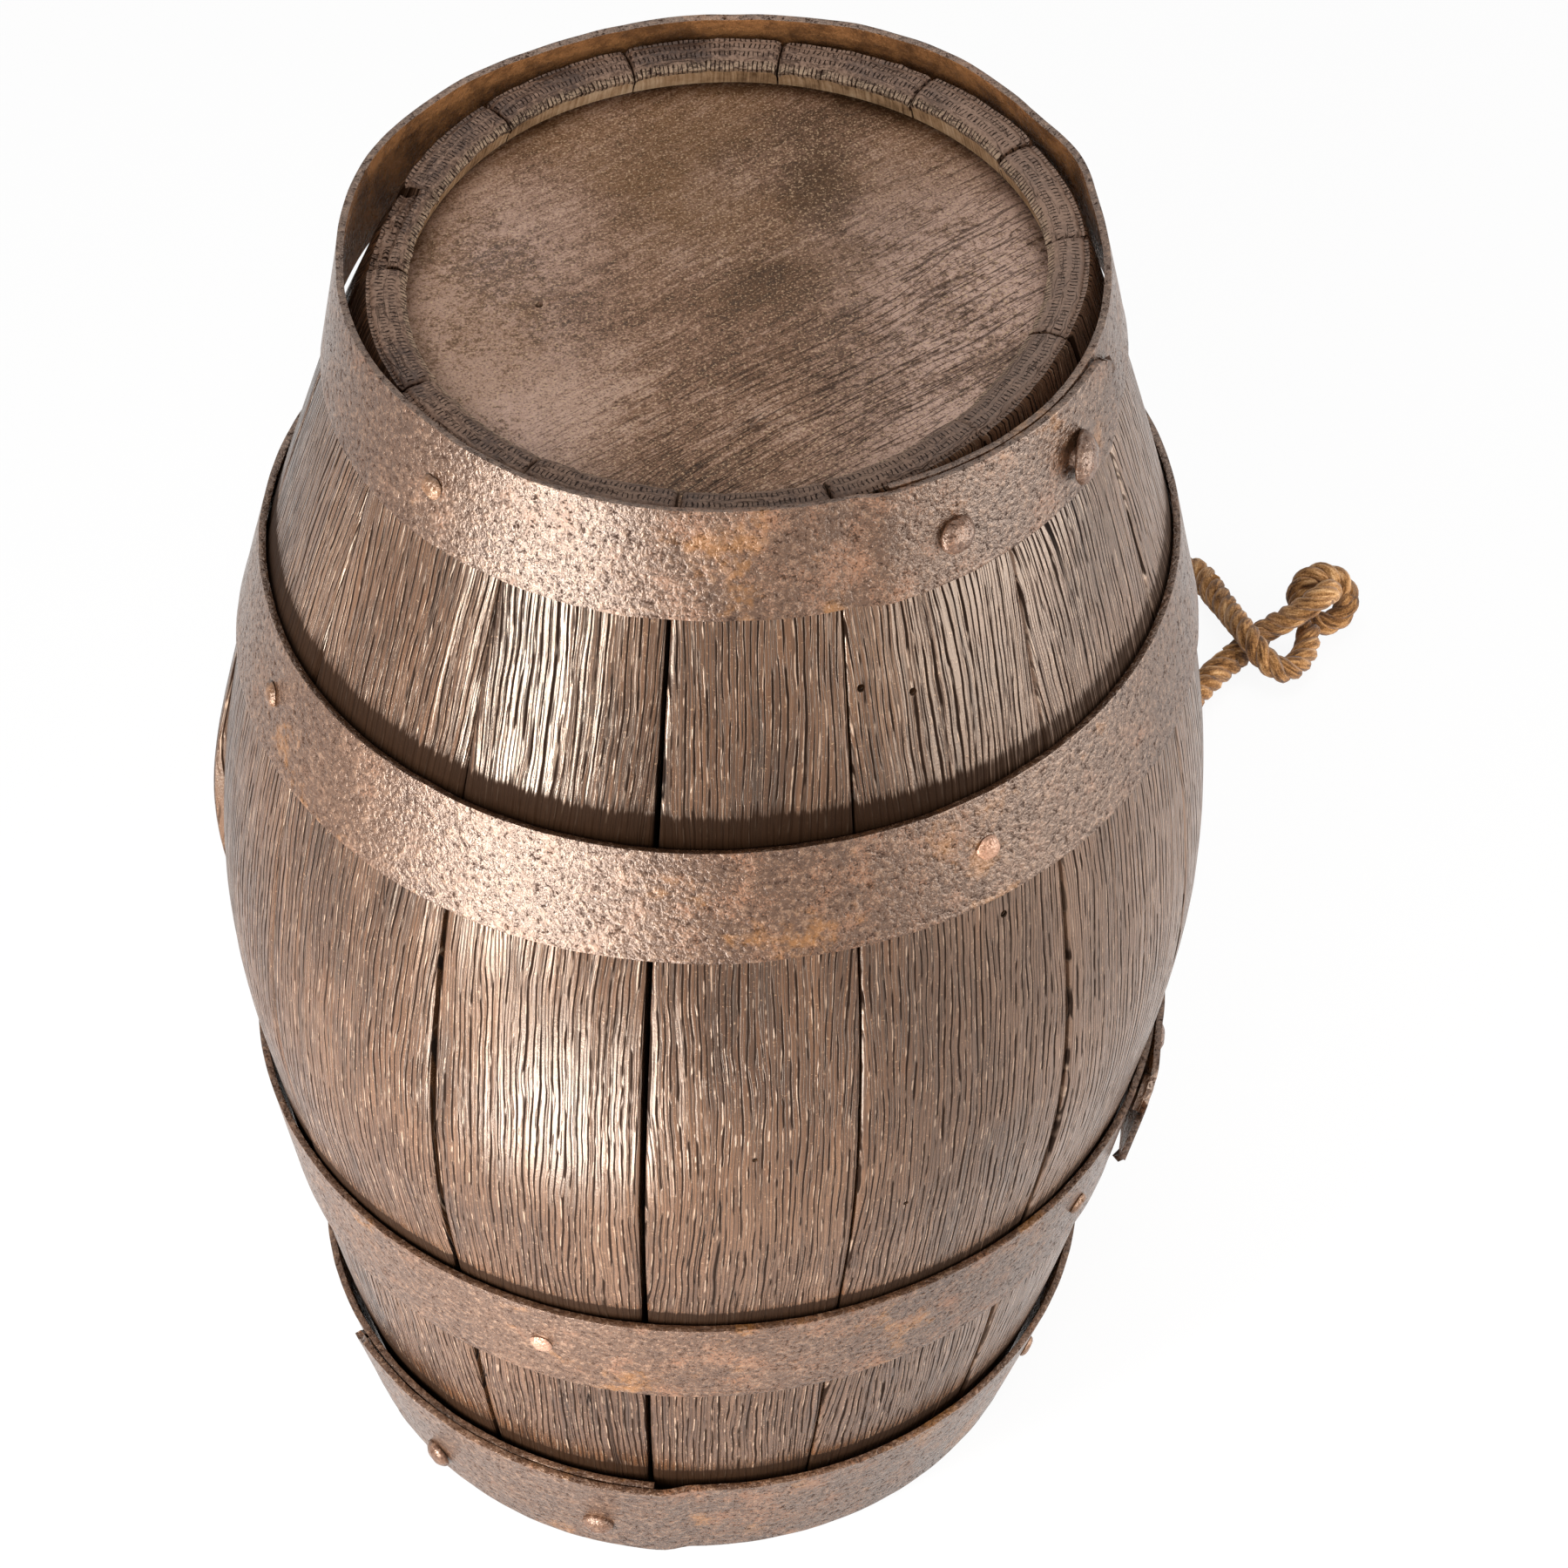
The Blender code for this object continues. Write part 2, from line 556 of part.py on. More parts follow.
def make_rope(mat):
    """The bight in the staple's eye, the two free strands, and the knot that holds their ends."""
    radius = ROPE_DIAMETER / 2
    face, outward, sideways, up = staple_frame()
    eye = face + outward * (STAPLE_EYE_DEPTH / 2) - up * (STAPLE_EYE_HEIGHT / 2 - radius - SEAT)
    ends = [eye + sideways * s * BIGHT_HALF_LENGTH for s in (1, -1)]
    tube("rope_bight", [ends[1], eye, ends[0]], radius, mat)
    for name, side, hang, lie, seam in (("rope_strand_a", 1, HANG_A, LIE_A, KNOT_A),
                                        ("rope_strand_b", -1, HANG_B, LIE_B, KNOT_B)):
        leave = eye + sideways * side * (BIGHT_HALF_LENGTH + SEAT)
        onward = leave + sideways * side * radius
        route = [around(math.radians(azimuth), barrel_radius(share * KEG_HEIGHT) + off, share * KEG_HEIGHT)
                 for azimuth, off, share in hang]
        route += [(x, y, radius + ROPE_OFF_FLOOR) for x, y in lie]
        start, following = Vector(seam[0]), Vector(seam[1])
        along = (following - start).normalized()
        points, length = smooth([leave, onward, *route, start - along * radius * 2, start - along * SEAT],
                                ROPE_SPACING, straight_ends=True)
        tube(name, points, radius, mat)
        print(f"{name}: {length:.4f} m, starts {tuple(round(c, 5) for c in leave)}")
    pieces = []
    for name, route in (("rope_knot", KNOT_A), ("knot_second_end", KNOT_B)):
        points, _ = smooth(route, KNOT_ROPE_RADIUS * 0.9)
        radii = [1 + (radius / KNOT_ROPE_RADIUS - 1) * max(0.0, 1 - i / 6) for i in range(len(points))]
        pieces.append(to_mesh(tube(name, points, KNOT_ROPE_RADIUS, mat, radii,
                                   collection=NODES if name == "rope_knot" else CUTTERS)))
    bpy.ops.mesh.primitive_torus_add(major_segments=28, minor_segments=10, major_radius=KNOT_RING_RADIUS,
                                     minor_radius=KNOT_ROPE_RADIUS, location=KNOT_RING_CENTRE,
                                     rotation=(KNOT_RING_TILT, 0, 0))
    ring = bpy.context.object
    ring.name = "knot_ring"
    for collection in list(ring.users_collection):
        collection.objects.unlink(ring)
    CUTTERS.objects.link(ring)
    pieces.append(ring)
    knot = pieces[0]
    for other in pieces[1:]:
        other.hide_render = True
        other.display_type = "WIRE"
        join = knot.modifiers.new(other.name, "BOOLEAN")
        join.operation = "UNION"
        join.object = other


def centre_on_origin():
    """Moves the whole model so that the keg's own box, without its rope, stands on the origin."""
    bpy.context.view_layer.update()
    corners = []
    graph = bpy.context.evaluated_depsgraph_get()
    for obj in NODES.objects:
        if not obj.name.startswith("rope_") or obj.name == "rope_staple":
            mesh = obj.evaluated_get(graph).to_mesh()
            corners += [obj.matrix_world @ v.co for v in mesh.vertices]
            obj.evaluated_get(graph).to_mesh_clear()
    low = [min(c[i] for c in corners) for i in range(3)]
    high = [max(c[i] for c in corners) for i in range(3)]
    shift = Vector(((low[0] + high[0]) / 2, (low[1] + high[1]) / 2, low[2]))
    for collection in (NODES, CUTTERS):
        for obj in collection.objects:
            obj.location -= shift
    print("shift", tuple(round(c, 6) for c in shift), "box", [round(h - l, 5) for l, h in zip(low, high)])


def build():
    clear_scene()
    wood = material("aged_oak", (0.17, 0.115, 0.085), 0.55)
    head_wood = material("head_oak", (0.20, 0.13, 0.085), 0.62)
    iron = material("rusted_iron", (0.19, 0.12, 0.09), 0.5, 0.75)
    pin_iron = material("pin_iron", (0.26, 0.17, 0.13), 0.45, 0.8)
    bung_wood = material("bung_oak", (0.24, 0.16, 0.10), 0.6)
    hemp = material("old_hemp", (0.36, 0.20, 0.09), 0.9)

    staves = [make_stave(i, wood) for i in range(len(JOINT_AZIMUTHS))]
    make_head("head_top", head_wood, flip=False)
    make_head("head_bottom", head_wood, flip=True)
    hoops = {name: make_hoop(name, iron) for name in HOOPS}
    for name, obj in hoops.items():
        fasten_hoop(name, obj, staves, pin_iron)
    make_bung(staves[stave_at(BUNG_AZIMUTH)], bung_wood)
    make_staple(hoops[STAPLE_HOOP], staves[stave_at(STAPLE_AZIMUTH)], iron)
    make_rope(hemp)
    centre_on_origin()
    for obj in NODES.objects:
        if obj.type == "MESH":
            obj.data.shade_smooth()
            obj.data.set_sharp_from_angle(angle=math.radians(35))


build()
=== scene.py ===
"""Dresses the old wooden keg for its photograph: aged staves with open grain, a worn head, rusted and
hammered hoops with domed rivets, and a laid rope. Metres, +Z up; the photographed side faces -Y."""
import math
import random
from functools import partialmethod

import bmesh
import bpy
from mathutils import Matrix, Vector, noise

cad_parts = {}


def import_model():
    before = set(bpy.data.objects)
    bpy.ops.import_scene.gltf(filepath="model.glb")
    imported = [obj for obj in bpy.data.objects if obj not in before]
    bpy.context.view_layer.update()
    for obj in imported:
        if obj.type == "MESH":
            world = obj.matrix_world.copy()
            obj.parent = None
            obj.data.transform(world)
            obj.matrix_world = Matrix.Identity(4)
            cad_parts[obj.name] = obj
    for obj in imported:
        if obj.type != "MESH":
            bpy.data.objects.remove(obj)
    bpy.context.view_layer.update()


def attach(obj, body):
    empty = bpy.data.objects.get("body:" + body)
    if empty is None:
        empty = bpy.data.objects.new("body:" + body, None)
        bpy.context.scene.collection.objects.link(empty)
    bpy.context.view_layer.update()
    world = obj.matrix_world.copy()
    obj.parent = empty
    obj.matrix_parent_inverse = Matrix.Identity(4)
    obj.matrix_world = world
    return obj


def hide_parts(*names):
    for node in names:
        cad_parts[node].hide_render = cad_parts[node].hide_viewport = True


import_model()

# The keg's sizes, as in its solids
SHIFT = Vector((0.006423, 0.005566, 0))  # from the keg's own foot to the frame's origin
KEG_HEIGHT = 0.410
BILGE_RADIUS = 0.1367
END_RADIUS = 0.0972
BEND_SOFTNESS = 0.5
RACK = 0.039  # how far the top has slid towards +X, as a share of height
STAVE_THICKNESS = 0.0115
JOINT_AZIMUTHS = (4, 29, 52, 78.5, 105, 131.5, 155.5, 177, 207, 235, 260.3, 284.5, 312, 339.5)
WIDE_JOINTS = (9, 10)
JOINT_GAP = math.radians(0.34)
WIDE_JOINT_GAP = math.radians(0.78)
PROUD_STAVE = 6
PROUD_BY = 0.0034
PROUD_CLEAR = 0.004
UPPER_PART = 0.2  # above this a stave's ring pattern is measured from its upper end
HEAD_DEPTH = 0.0093
HEAD_THICKNESS = 0.011
HEAD_BEVEL_LENGTH = 0.012
CROZE_DEPTH = 0.0042
TONGUE_THICKNESS = 0.004
TONGUE_LENGTH = 0.0035
SEAT = 0.0003
HOOP_THICKNESS = 0.0019
HOOP_FIT = 0.0006
LAYER_GAP = 0.0003
CORNER_CLIP = 0.008
JOGGLE = math.radians(6)
BUNG_STAVE = 3
BUNG_AZIMUTH = 90
BUNG_HOLE_RADIUS = 0.0145
BUNG_TAPER = 0.07
BUNG_PROUD = 0.011
BUNG_DRIVEN = 0.0063
RIVET_DOME = 0.58
NAIL_HEAD_RADIUS = 0.0034
NAIL_HEAD_HEIGHT = 0.0014

# Each hoop: its edges' heights, how far its top edge stands off, where it ends and how far it laps (degrees),
# which way it turns, how far its free end has sprung and how much its edges wave, its rivets as (degrees back
# from the end, share of the width, radius) and its nails' degrees
HOOPS = {
    "hoop_1_top_chime": dict(
        low=0.3835, high=0.4135, stand=0.0014, end=-22, lap=46, turn=1, lift=0.0008, wave=0.0007,
        rivets=((13.5, 0.38, 0.0069), (37, 0.42, 0.0052)), nails=(222, 100)),
    "hoop_2_upper_bilge": dict(
        low=0.2885, high=0.3210, stand=0.0003, end=140, lap=46, turn=1, lift=0.0004, wave=0.0005,
        rivets=((12, 0.5, 0.0056), (36, 0.5, 0.0052)), nails=(301, 200)),
    "hoop_3_lower_bilge": dict(
        low=0.1020, high=0.1400, stand=0.0004, end=-23, lap=44, turn=-1, lift=0.0026, wave=0.0005,
        rivets=((16, 0.57, 0.0066), (34, 0.5, 0.0052)), nails=(247, 324, 110)),
    "hoop_4_bottom_chime": dict(
        low=0.0015, high=0.0450, stand=0.0014, end=-157, lap=58, turn=-1, lift=0.0004, wave=0.0006,
        rivets=((18.5, 0.25, 0.0047), (49, 0.37, 0.0048)), nails=(200, 333, 80)),
}

# Wear, as (middle in degrees, half width in degrees, how far in)
TOP_RIM_BENDS = ((182, 42, 0.0020), (148, 36, 0.0042), (325, 40, 0.0030), (58, 26, 0.0020), (20, 13, 0.0016),
                 (268, 18, -0.0006))
STAVES_DRAWN_IN = ((325, 44, 0.0028), (160, 44, 0.0020))
SHUT_JOINTS = (9, 12)  # nearly closed above the second hoop
WORN_NAILS = (("hoop_2_upper_bilge", 301), ("hoop_3_lower_bilge", 247))
RIVET_LEANS = {("hoop_1_top_chime", 0): 21, ("hoop_1_top_chime", 1): 7, ("hoop_4_bottom_chime", 0): -8}
STAVE_HOLES = ((286.4, 0.360, 0.0011), (293.5, 0.355, 0.0011), (303, 0.280, 0.0011), (272.7, 0.219, 0.0008),
               (290.8, 0.187, 0.0008))  # degrees, height, radius
HEAD_HOLES = ((-0.0476, -0.0027, 0.0011), (0.056, -0.0265, 0.0006))  # x and y from the head's middle, radius
BUNG_UNEVEN = 0.012
BUNG_SEED = 3.0

# How finely the pieces are made
STAVE_LEVELS = 104
STAVE_INNER_LEVELS = 18
JOINT_RUNS = (0.0, 0.0003, 0.0007, 0.0013, 0.0024)  # the rows of points next to a joint, from its edge
HEAD_SIDES = 168
HEAD_RINGS = 40
HOOP_STEP = 0.0024
HOOP_RISES = (0, 0.02, 0.07, 0.18, 0.32, 0.5, 0.68, 0.82, 0.93, 0.98, 1)
STRAND_SIDES = 9

# Rope
ROPE_RADIUS = 0.005
ROPE_PITCH = 0.0165
STRAND_RADIUS = 0.54  # these two as shares of the rope's radius
STRAND_OFF_CENTRE = 0.465
ROPE_STEP = 0.0012
KNOT_STEP = 0.0010
KNOT_ROPE_RADIUS = 0.0045
KNOT_RING_RADIUS = 0.0085
KNOT_RING_CENTRE = (0.2241, 0.2786, 0.0106)
KNOT_RING_TILT = math.radians(44)
FLOOR_LINE = ROPE_RADIUS + 0.0004
BIGHT_HALF_LENGTH = 0.012
HANG_A = ((76.55, 0.0132, 0.6805), (78.60, 0.0131, 0.5732), (78.74, 0.0181, 0.4146),
          (78.00, 0.0325, 0.2439), (77.22, 0.0522, 0.1024), (76.25, 0.0789, 0.0268))
LIE_A = ((0.0590, 0.2080), (0.0860, 0.2560), (0.1200, 0.2960), (0.1530, 0.3110))
HANG_B = ((50.85, 0.0107, 0.6805), (48.67, 0.0101, 0.5732), (47.33, 0.0154, 0.4146),
          (46.68, 0.0310, 0.2439), (46.81, 0.0512, 0.1024), (48.40, 0.0776, 0.0268))
LIE_B = ((0.1330, 0.1640), (0.1520, 0.1990), (0.1700, 0.2310))
KNOT_A = ((0.1865, 0.2911, 0.0062), (0.1910, 0.2762, 0.0095), (0.1961, 0.2581, 0.0142),
          (0.2010, 0.2499, 0.0112), (0.2079, 0.2482, 0.0070), (0.2148, 0.2557, 0.0053),
          (0.2179, 0.2650, 0.0051), (0.2180, 0.2712, 0.0056))
KNOT_B = ((0.1907, 0.2562, 0.0053), (0.1982, 0.2640, 0.0050), (0.2045, 0.2684, 0.0072),
          (0.2097, 0.2678, 0.0115), (0.2154, 0.2675, 0.0165), (0.2208, 0.2687, 0.0203),
          (0.2248, 0.2722, 0.0200), (0.2262, 0.2771, 0.0150))
STAPLE_HOOP = "hoop_2_upper_bilge"
STAPLE_AZIMUTH = 62
STAPLE_ROD = 0.0042
STAPLE_EYE_HEIGHT = 0.0175
STAPLE_EYE_DEPTH = 0.0135

# Grime and painted shadow on the staves as (share of this height, amount): grime gathers behind and just over
# each hoop, and the shadow that each hoop's upper edge casts over it is painted in the same band
SOIL_AND_SHADOW_HEIGHT = 0.42
SOIL_AND_SHADOW = ((0.0, 0.2), (0.1071, 1.0), (0.1165, 1.0), (0.1210, 0.50), (0.1500, 0.0), (0.2380, 0.0),
        (0.2429, 0.30), (0.3333, 1.0), (0.3425, 1.0), (0.3465, 0.40), (0.3600, 0.0), (0.6780, 0.0),
        (0.6860, 0.25), (0.7643, 1.0), (0.7760, 1.0), (0.7840, 0.48), (0.8080, 0.0), (0.8980, 0.0),
        (0.9130, 0.30), (1.0, 0.6))

# How far apart the wood's lines lie
GRAIN_STEP = 0.00185
FINE_GRAIN_STEP = 0.00091
STITCH_STEP = 0.00145
RING_STEP = 0.0031

# Stage and light
FLOOR_LEVEL = -0.0008
AMBIENT = 0.32
FLOOR_GLOW = 0.92
WARM, SOFT_WARM, WHITE = (1, 0.98, 0.95), (1, 0.97, 0.93), (1, 1, 1)
LAMPS = (  # name, place, target, size, watts, colour
    ("key_strip", (-0.385, -0.40, 0.26), (0, 0, 0.26), (0.12, 0.38), 6.0, WARM),
    ("key_low", (-0.17, -0.31, 0.05), (-0.05, -0.09, 0.30), (0.15, 0.12), 1.2, WARM),
    ("fill_low_right", (0.86, -0.36, 0.16), (0, 0, 0.20), (0.95, 0.85), 17, SOFT_WARM),
    ("front_high", (-0.35, -1.5, 1.25), (0, 0, 0.35), (0.8, 0.6), 12, WHITE),
    ("top_soft", (0.1, 0.5, 1.9), (0, 0, 0.3), (1.4, 1.1), 12, WHITE),
)


# Form

def barrel_radius(z):
    """The staves' outer radius at this height."""
    s = 2 * z / KEG_HEIGHT - 1
    share = (math.hypot(s, BEND_SOFTNESS) - BEND_SOFTNESS) / (math.hypot(1, BEND_SOFTNESS) - BEND_SOFTNESS)
    return BILGE_RADIUS - (BILGE_RADIUS - END_RADIUS) * share + uneven(z)


def uneven(z):
    """How far the bend departs from the cooper's curve: drawn in at the top and above the foot."""
    return (0.0013 * math.exp(-z / 0.03) - 0.0037 * math.exp(-((z - 0.130) / 0.050) ** 2)
            - 0.0044 * max(0.0, (z - 0.27) / 0.14) ** 1.4)


def around(azimuth, radius, z):
    """A point at this azimuth (radians) and radius from the racked axis, in the frame's place."""
    return Vector((RACK * z + radius * math.cos(azimuth), radius * math.sin(azimuth), z)) - SHIFT


def ripple(x, y, z=0.0):
    """Smooth unevenness between -1 and 1."""
    return noise.noise(Vector((x, y, z)))


def smoothstep(low, high, value):
    t = min(1.0, max(0.0, (value - low) / (high - low)))
    return t * t * (3 - 2 * t)


def proud(z):
    """How far the proud stave bulges out between the two middle hoops."""
    start = HOOPS["hoop_3_lower_bilge"]["high"] + PROUD_CLEAR
    stop = HOOPS["hoop_2_upper_bilge"]["low"] - PROUD_CLEAR
    return PROUD_BY * math.sin(math.pi * (z - start) / (stop - start)) ** 2 if start < z < stop else 0.0


def bends(places, azimuth):
    """How far some soft dents go in at this azimuth."""
    total = 0.0
    for middle, half, distance in places:
        off = (math.degrees(azimuth) - middle + 180) % 360 - 180
        if abs(off) < half:
            total += distance * (0.5 + 0.5 * math.cos(math.pi * off / half))
    return total


def hoop_inside(name, azimuth, z, layer=0.0):
    """The radius of a hoop's inner face; layer 1 is the end that laps over the other."""
    hoop = HOOPS[name]
    rise = (z - hoop["low"]) / (hoop["high"] - hoop["low"])
    bend = bends(TOP_RIM_BENDS, azimuth) if name == "hoop_1_top_chime" else 0.0
    low = barrel_radius(hoop["low"]) + HOOP_FIT
    high = barrel_radius(min(hoop["high"], KEG_HEIGHT)) + HOOP_FIT + hoop["stand"] + bend
    return low + rise * (high - low) + layer * (HOOP_THICKNESS + LAYER_GAP)


def hoop_normal(name, azimuth):
    hoop = HOOPS[name]
    fall = (hoop_inside(name, azimuth, hoop["low"]) - hoop_inside(name, azimuth, hoop["high"])) / (
        hoop["high"] - hoop["low"])
    return Vector((math.cos(azimuth), math.sin(azimuth), fall - RACK * math.cos(azimuth))).normalized()


def on_hoop(name, azimuth, share, stand):
    """A place at this share of a hoop's width, standing off its inner face, and the way out from it."""
    hoop = HOOPS[name]
    z = hoop["low"] + share * (hoop["high"] - hoop["low"])
    outward = hoop_normal(name, azimuth)
    return around(azimuth, hoop_inside(name, azimuth, z), z) + outward * stand, outward


def circle(centre, u, v, radius, sides):
    return [centre + (u * math.cos(a) + v * math.sin(a)) * radius
            for a in (2 * math.pi * n / sides for n in range(sides))]


# Tools

def add_object(name, data):
    obj = bpy.data.objects.new(name, data)
    bpy.context.scene.collection.objects.link(obj)
    return obj


def mesh_object(name, bm):
    mesh = bpy.data.meshes.new(name)
    bm.to_mesh(mesh)
    bm.free()
    return add_object(name, mesh)


def finish_piece(name, bm, materials, node, body="keg", sharp=38):
    """The mesh as a piece of the object, standing for its solid."""
    obj = mesh_object(name, bm)
    obj.data.shade_smooth()
    obj.data.set_sharp_from_angle(angle=math.radians(sharp))
    for material in materials:
        obj.data.materials.append(material)
    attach(obj, body)
    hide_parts(node)
    return obj


def wrought_sheet(bm, rows, closed_rows=False, closed_columns=False, capped=False, uvs=None):
    """A flat grid drawn out to rows of points, welded where it closes on itself, and capped at open ends.

    uvs gives each point its place on the named maps. The result says which row and column each vertex
    stands for.
    """
    tall, wide = len(rows) + closed_rows, len(rows[0]) + closed_columns
    corners, welded = {}, {}
    for vert in bmesh.ops.create_grid(bm, x_segments=wide - 1, y_segments=tall - 1, size=1)["verts"]:
        corners[round((vert.co.y + 1) / 2 * (tall - 1)), round((vert.co.x + 1) / 2 * (wide - 1))] = vert
    for (i, k), vert in corners.items():
        vert.co = rows[i % len(rows)][k % len(rows[0])]
        if i == len(rows) or k == len(rows[0]):
            welded[vert] = corners[i % len(rows), k % len(rows[0])]
    where = {vert: place for place, vert in corners.items() if vert not in welded}
    if welded:
        bmesh.ops.weld_verts(bm, targetmap=welded)
    if capped:
        ends = [e for e in bm.edges if e.is_boundary and e.verts[0] in where]
        bmesh.ops.holes_fill(bm, edges=ends, sides=0)
    for name, places in (uvs or {}).items():
        layer = bm.loops.layers.uv.get(name) or bm.loops.layers.uv.new(name)
        for vert, (i, k) in where.items():
            for loop in vert.link_loops:
                loop[layer].uv = places[i][k]
    return where


def face_outward(bm):
    """Turn a closed form's faces outward, also where the operator takes the inside for the outside."""
    bmesh.ops.recalc_face_normals(bm, faces=bm.faces)
    if bm.calc_volume(signed=True) < 0:
        bmesh.ops.reverse_faces(bm, faces=bm.faces)


def spun_profile(bm, profile, sides):
    """A line of (radius, height) points spun once about the upright axis."""
    line = [bm.verts.new((radius, 0, height)) for radius, height in profile]
    edges = [bm.edges.new(pair) for pair in zip(line, line[1:])]
    bmesh.ops.spin(bm, geom=line + edges, cent=(0, 0, 0), axis=(0, 0, 1), angle=2 * math.pi, steps=sides,
                   use_merge=True)
    bmesh.ops.remove_doubles(bm, verts=bm.verts, dist=1e-7)


def turned(profile, sides, place, outward, unevenness, seed):
    """(Radius, height) points, from the axis back to the axis, turned about the outward direction."""
    bm = bmesh.new()
    turn = outward.to_track_quat("Z", "Y").to_matrix()
    spun_profile(bm, profile, sides)
    for vert in bm.verts:
        x, y, height = vert.co
        radius = math.hypot(x, y)
        if radius > 1e-6:
            scale = 1 + unevenness * ripple(x / radius * 1.4, y / radius * 1.4, seed)
            height *= 1 + 1.3 * unevenness * ripple(x * 400, y * 400, seed + 5)
            x, y = x * scale, y * scale
        vert.co = place + turn @ Vector((x, y, height))
    face_outward(bm)
    return bm


def bore_out(obj, profile, sides, place, outward, unevenness, seed):
    """Cut a turned form out of a piece. The grain runs on into the cut."""
    bm = turned(profile, sides, place, outward, unevenness, seed)
    for layer_name in ("grain", "ring"):
        layer = bm.loops.layers.uv.new(layer_name)
        for face in bm.faces:
            for loop in face.loops:
                loop[layer].uv = ((loop.vert.co - place).dot(outward), loop.vert.co.z)
    tool = mesh_object("bore", bm)
    cut = obj.modifiers.new("bore", "BOOLEAN")
    cut.object = tool
    cut.operation = "DIFFERENCE"
    cut.solver = "EXACT"
    bpy.context.view_layer.update()
    before, bore = obj.data, tool.data
    obj.data = bpy.data.meshes.new_from_object(obj.evaluated_get(bpy.context.evaluated_depsgraph_get()))
    obj.data.name = before.name
    obj.modifiers.remove(cut)
    bpy.data.objects.remove(tool)
    bpy.data.meshes.remove(bore)
    bpy.data.meshes.remove(before)


def worm_hole(obj, place, outward, radius):
    """A worm hole: a short blind bore with an uneven mouth."""
    profile = [(0, 0.004), (radius, 0.004), (radius, 0.001), (radius * 0.95, -0.002),
               (radius * 0.6, -0.005), (0, -0.006)]
    bore_out(obj, profile, 14, place, outward, 0.12, radius * 5000)


# Staves and heads

def stave_rows(index):
    """The stave's closed outline as (radius, height, kind), much finer than its solid's."""
    end, foot = barrel_radius(KEG_HEIGHT), barrel_radius(0)
    extra = proud if index == PROUD_STAVE else (lambda z: 0.0)
    rows = [(foot - 0.0013, 0.0, "out"), (foot - 0.0004, 0.0004, "out")]
    rows += [(barrel_radius(z) + extra(z), z, "out")
             for z in (0.0013 + (KEG_HEIGHT - 0.0026) * i / STAVE_LEVELS for i in range(STAVE_LEVELS + 1))]
    rows += [(end - 0.0004, KEG_HEIGHT - 0.0004, "out")]
    outer_edge, inner_edge = end - 0.0013, end - STAVE_THICKNESS + 0.0008
    across = 26 if index == PROUD_STAVE else 16
    for i in range(across + 1):
        share = i / across
        drop = 0.0024 * max(0.0, (share - 0.55) / 0.45) ** 2 + 0.0007 * max(0.0, 1 - share / 0.16) ** 2
        rows.append((outer_edge + (inner_edge - outer_edge) * share, KEG_HEIGHT - drop, "end"))

    def inside(z, deeper=0.0):
        return barrel_radius(z) - STAVE_THICKNESS + deeper

    face = KEG_HEIGHT - HEAD_DEPTH
    low, high = face - TONGUE_THICKNESS - SEAT, face + SEAT
    upper = [(inside(z, deeper), z) for z, deeper in (
        (KEG_HEIGHT - 0.0038, 0.0002), (KEG_HEIGHT - 0.006, 0), (high, 0), (high, CROZE_DEPTH),
        (low, CROZE_DEPTH), (low, 0))]
    rows += [(r, z, "in") for r, z in upper]
    rows += [(inside(z), z, "in") for z in (low + (KEG_HEIGHT - 2 * low) * i / STAVE_INNER_LEVELS
                                            for i in range(1, STAVE_INNER_LEVELS))]
    rows += [(r - inside(z) + inside(KEG_HEIGHT - z), KEG_HEIGHT - z, "in") for r, z in reversed(upper)]
    rows += [(inner_edge + foot - end + (outer_edge - inner_edge) * i / 4, 0.0008 * (1 - i / 4), "end")
             for i in range(4)]
    return rows


def broken_end(azimuth, radius):
    """How far the broken stave's end lies below the others: its outer part is split off raggedly."""
    inward = barrel_radius(KEG_HEIGHT) - radius
    line = 0.0056 + 0.0009 * ripple(azimuth * 70, 3) + 0.0004 * ripple(azimuth * 260, 8)
    outer = smoothstep(line, line - 0.0007, inward)
    crack = (math.exp(-((inward - line) / 0.0006) ** 2)
             * smoothstep(math.radians(176), math.radians(165), azimuth))
    ribs = 0.5 + 0.5 * math.sin(azimuth * 2 * math.pi / math.radians(0.95)
                                + 2 * ripple(azimuth * 40, radius * 90))
    return (outer * (0.0034 + 0.0012 * ripple(azimuth * 60, radius * 500) + 0.0005 * ribs) + 0.0030 * crack
            + (1 - outer) * (0.0006 * ribs * smoothstep(0.0075, 0.0095, inward) - 0.0002))


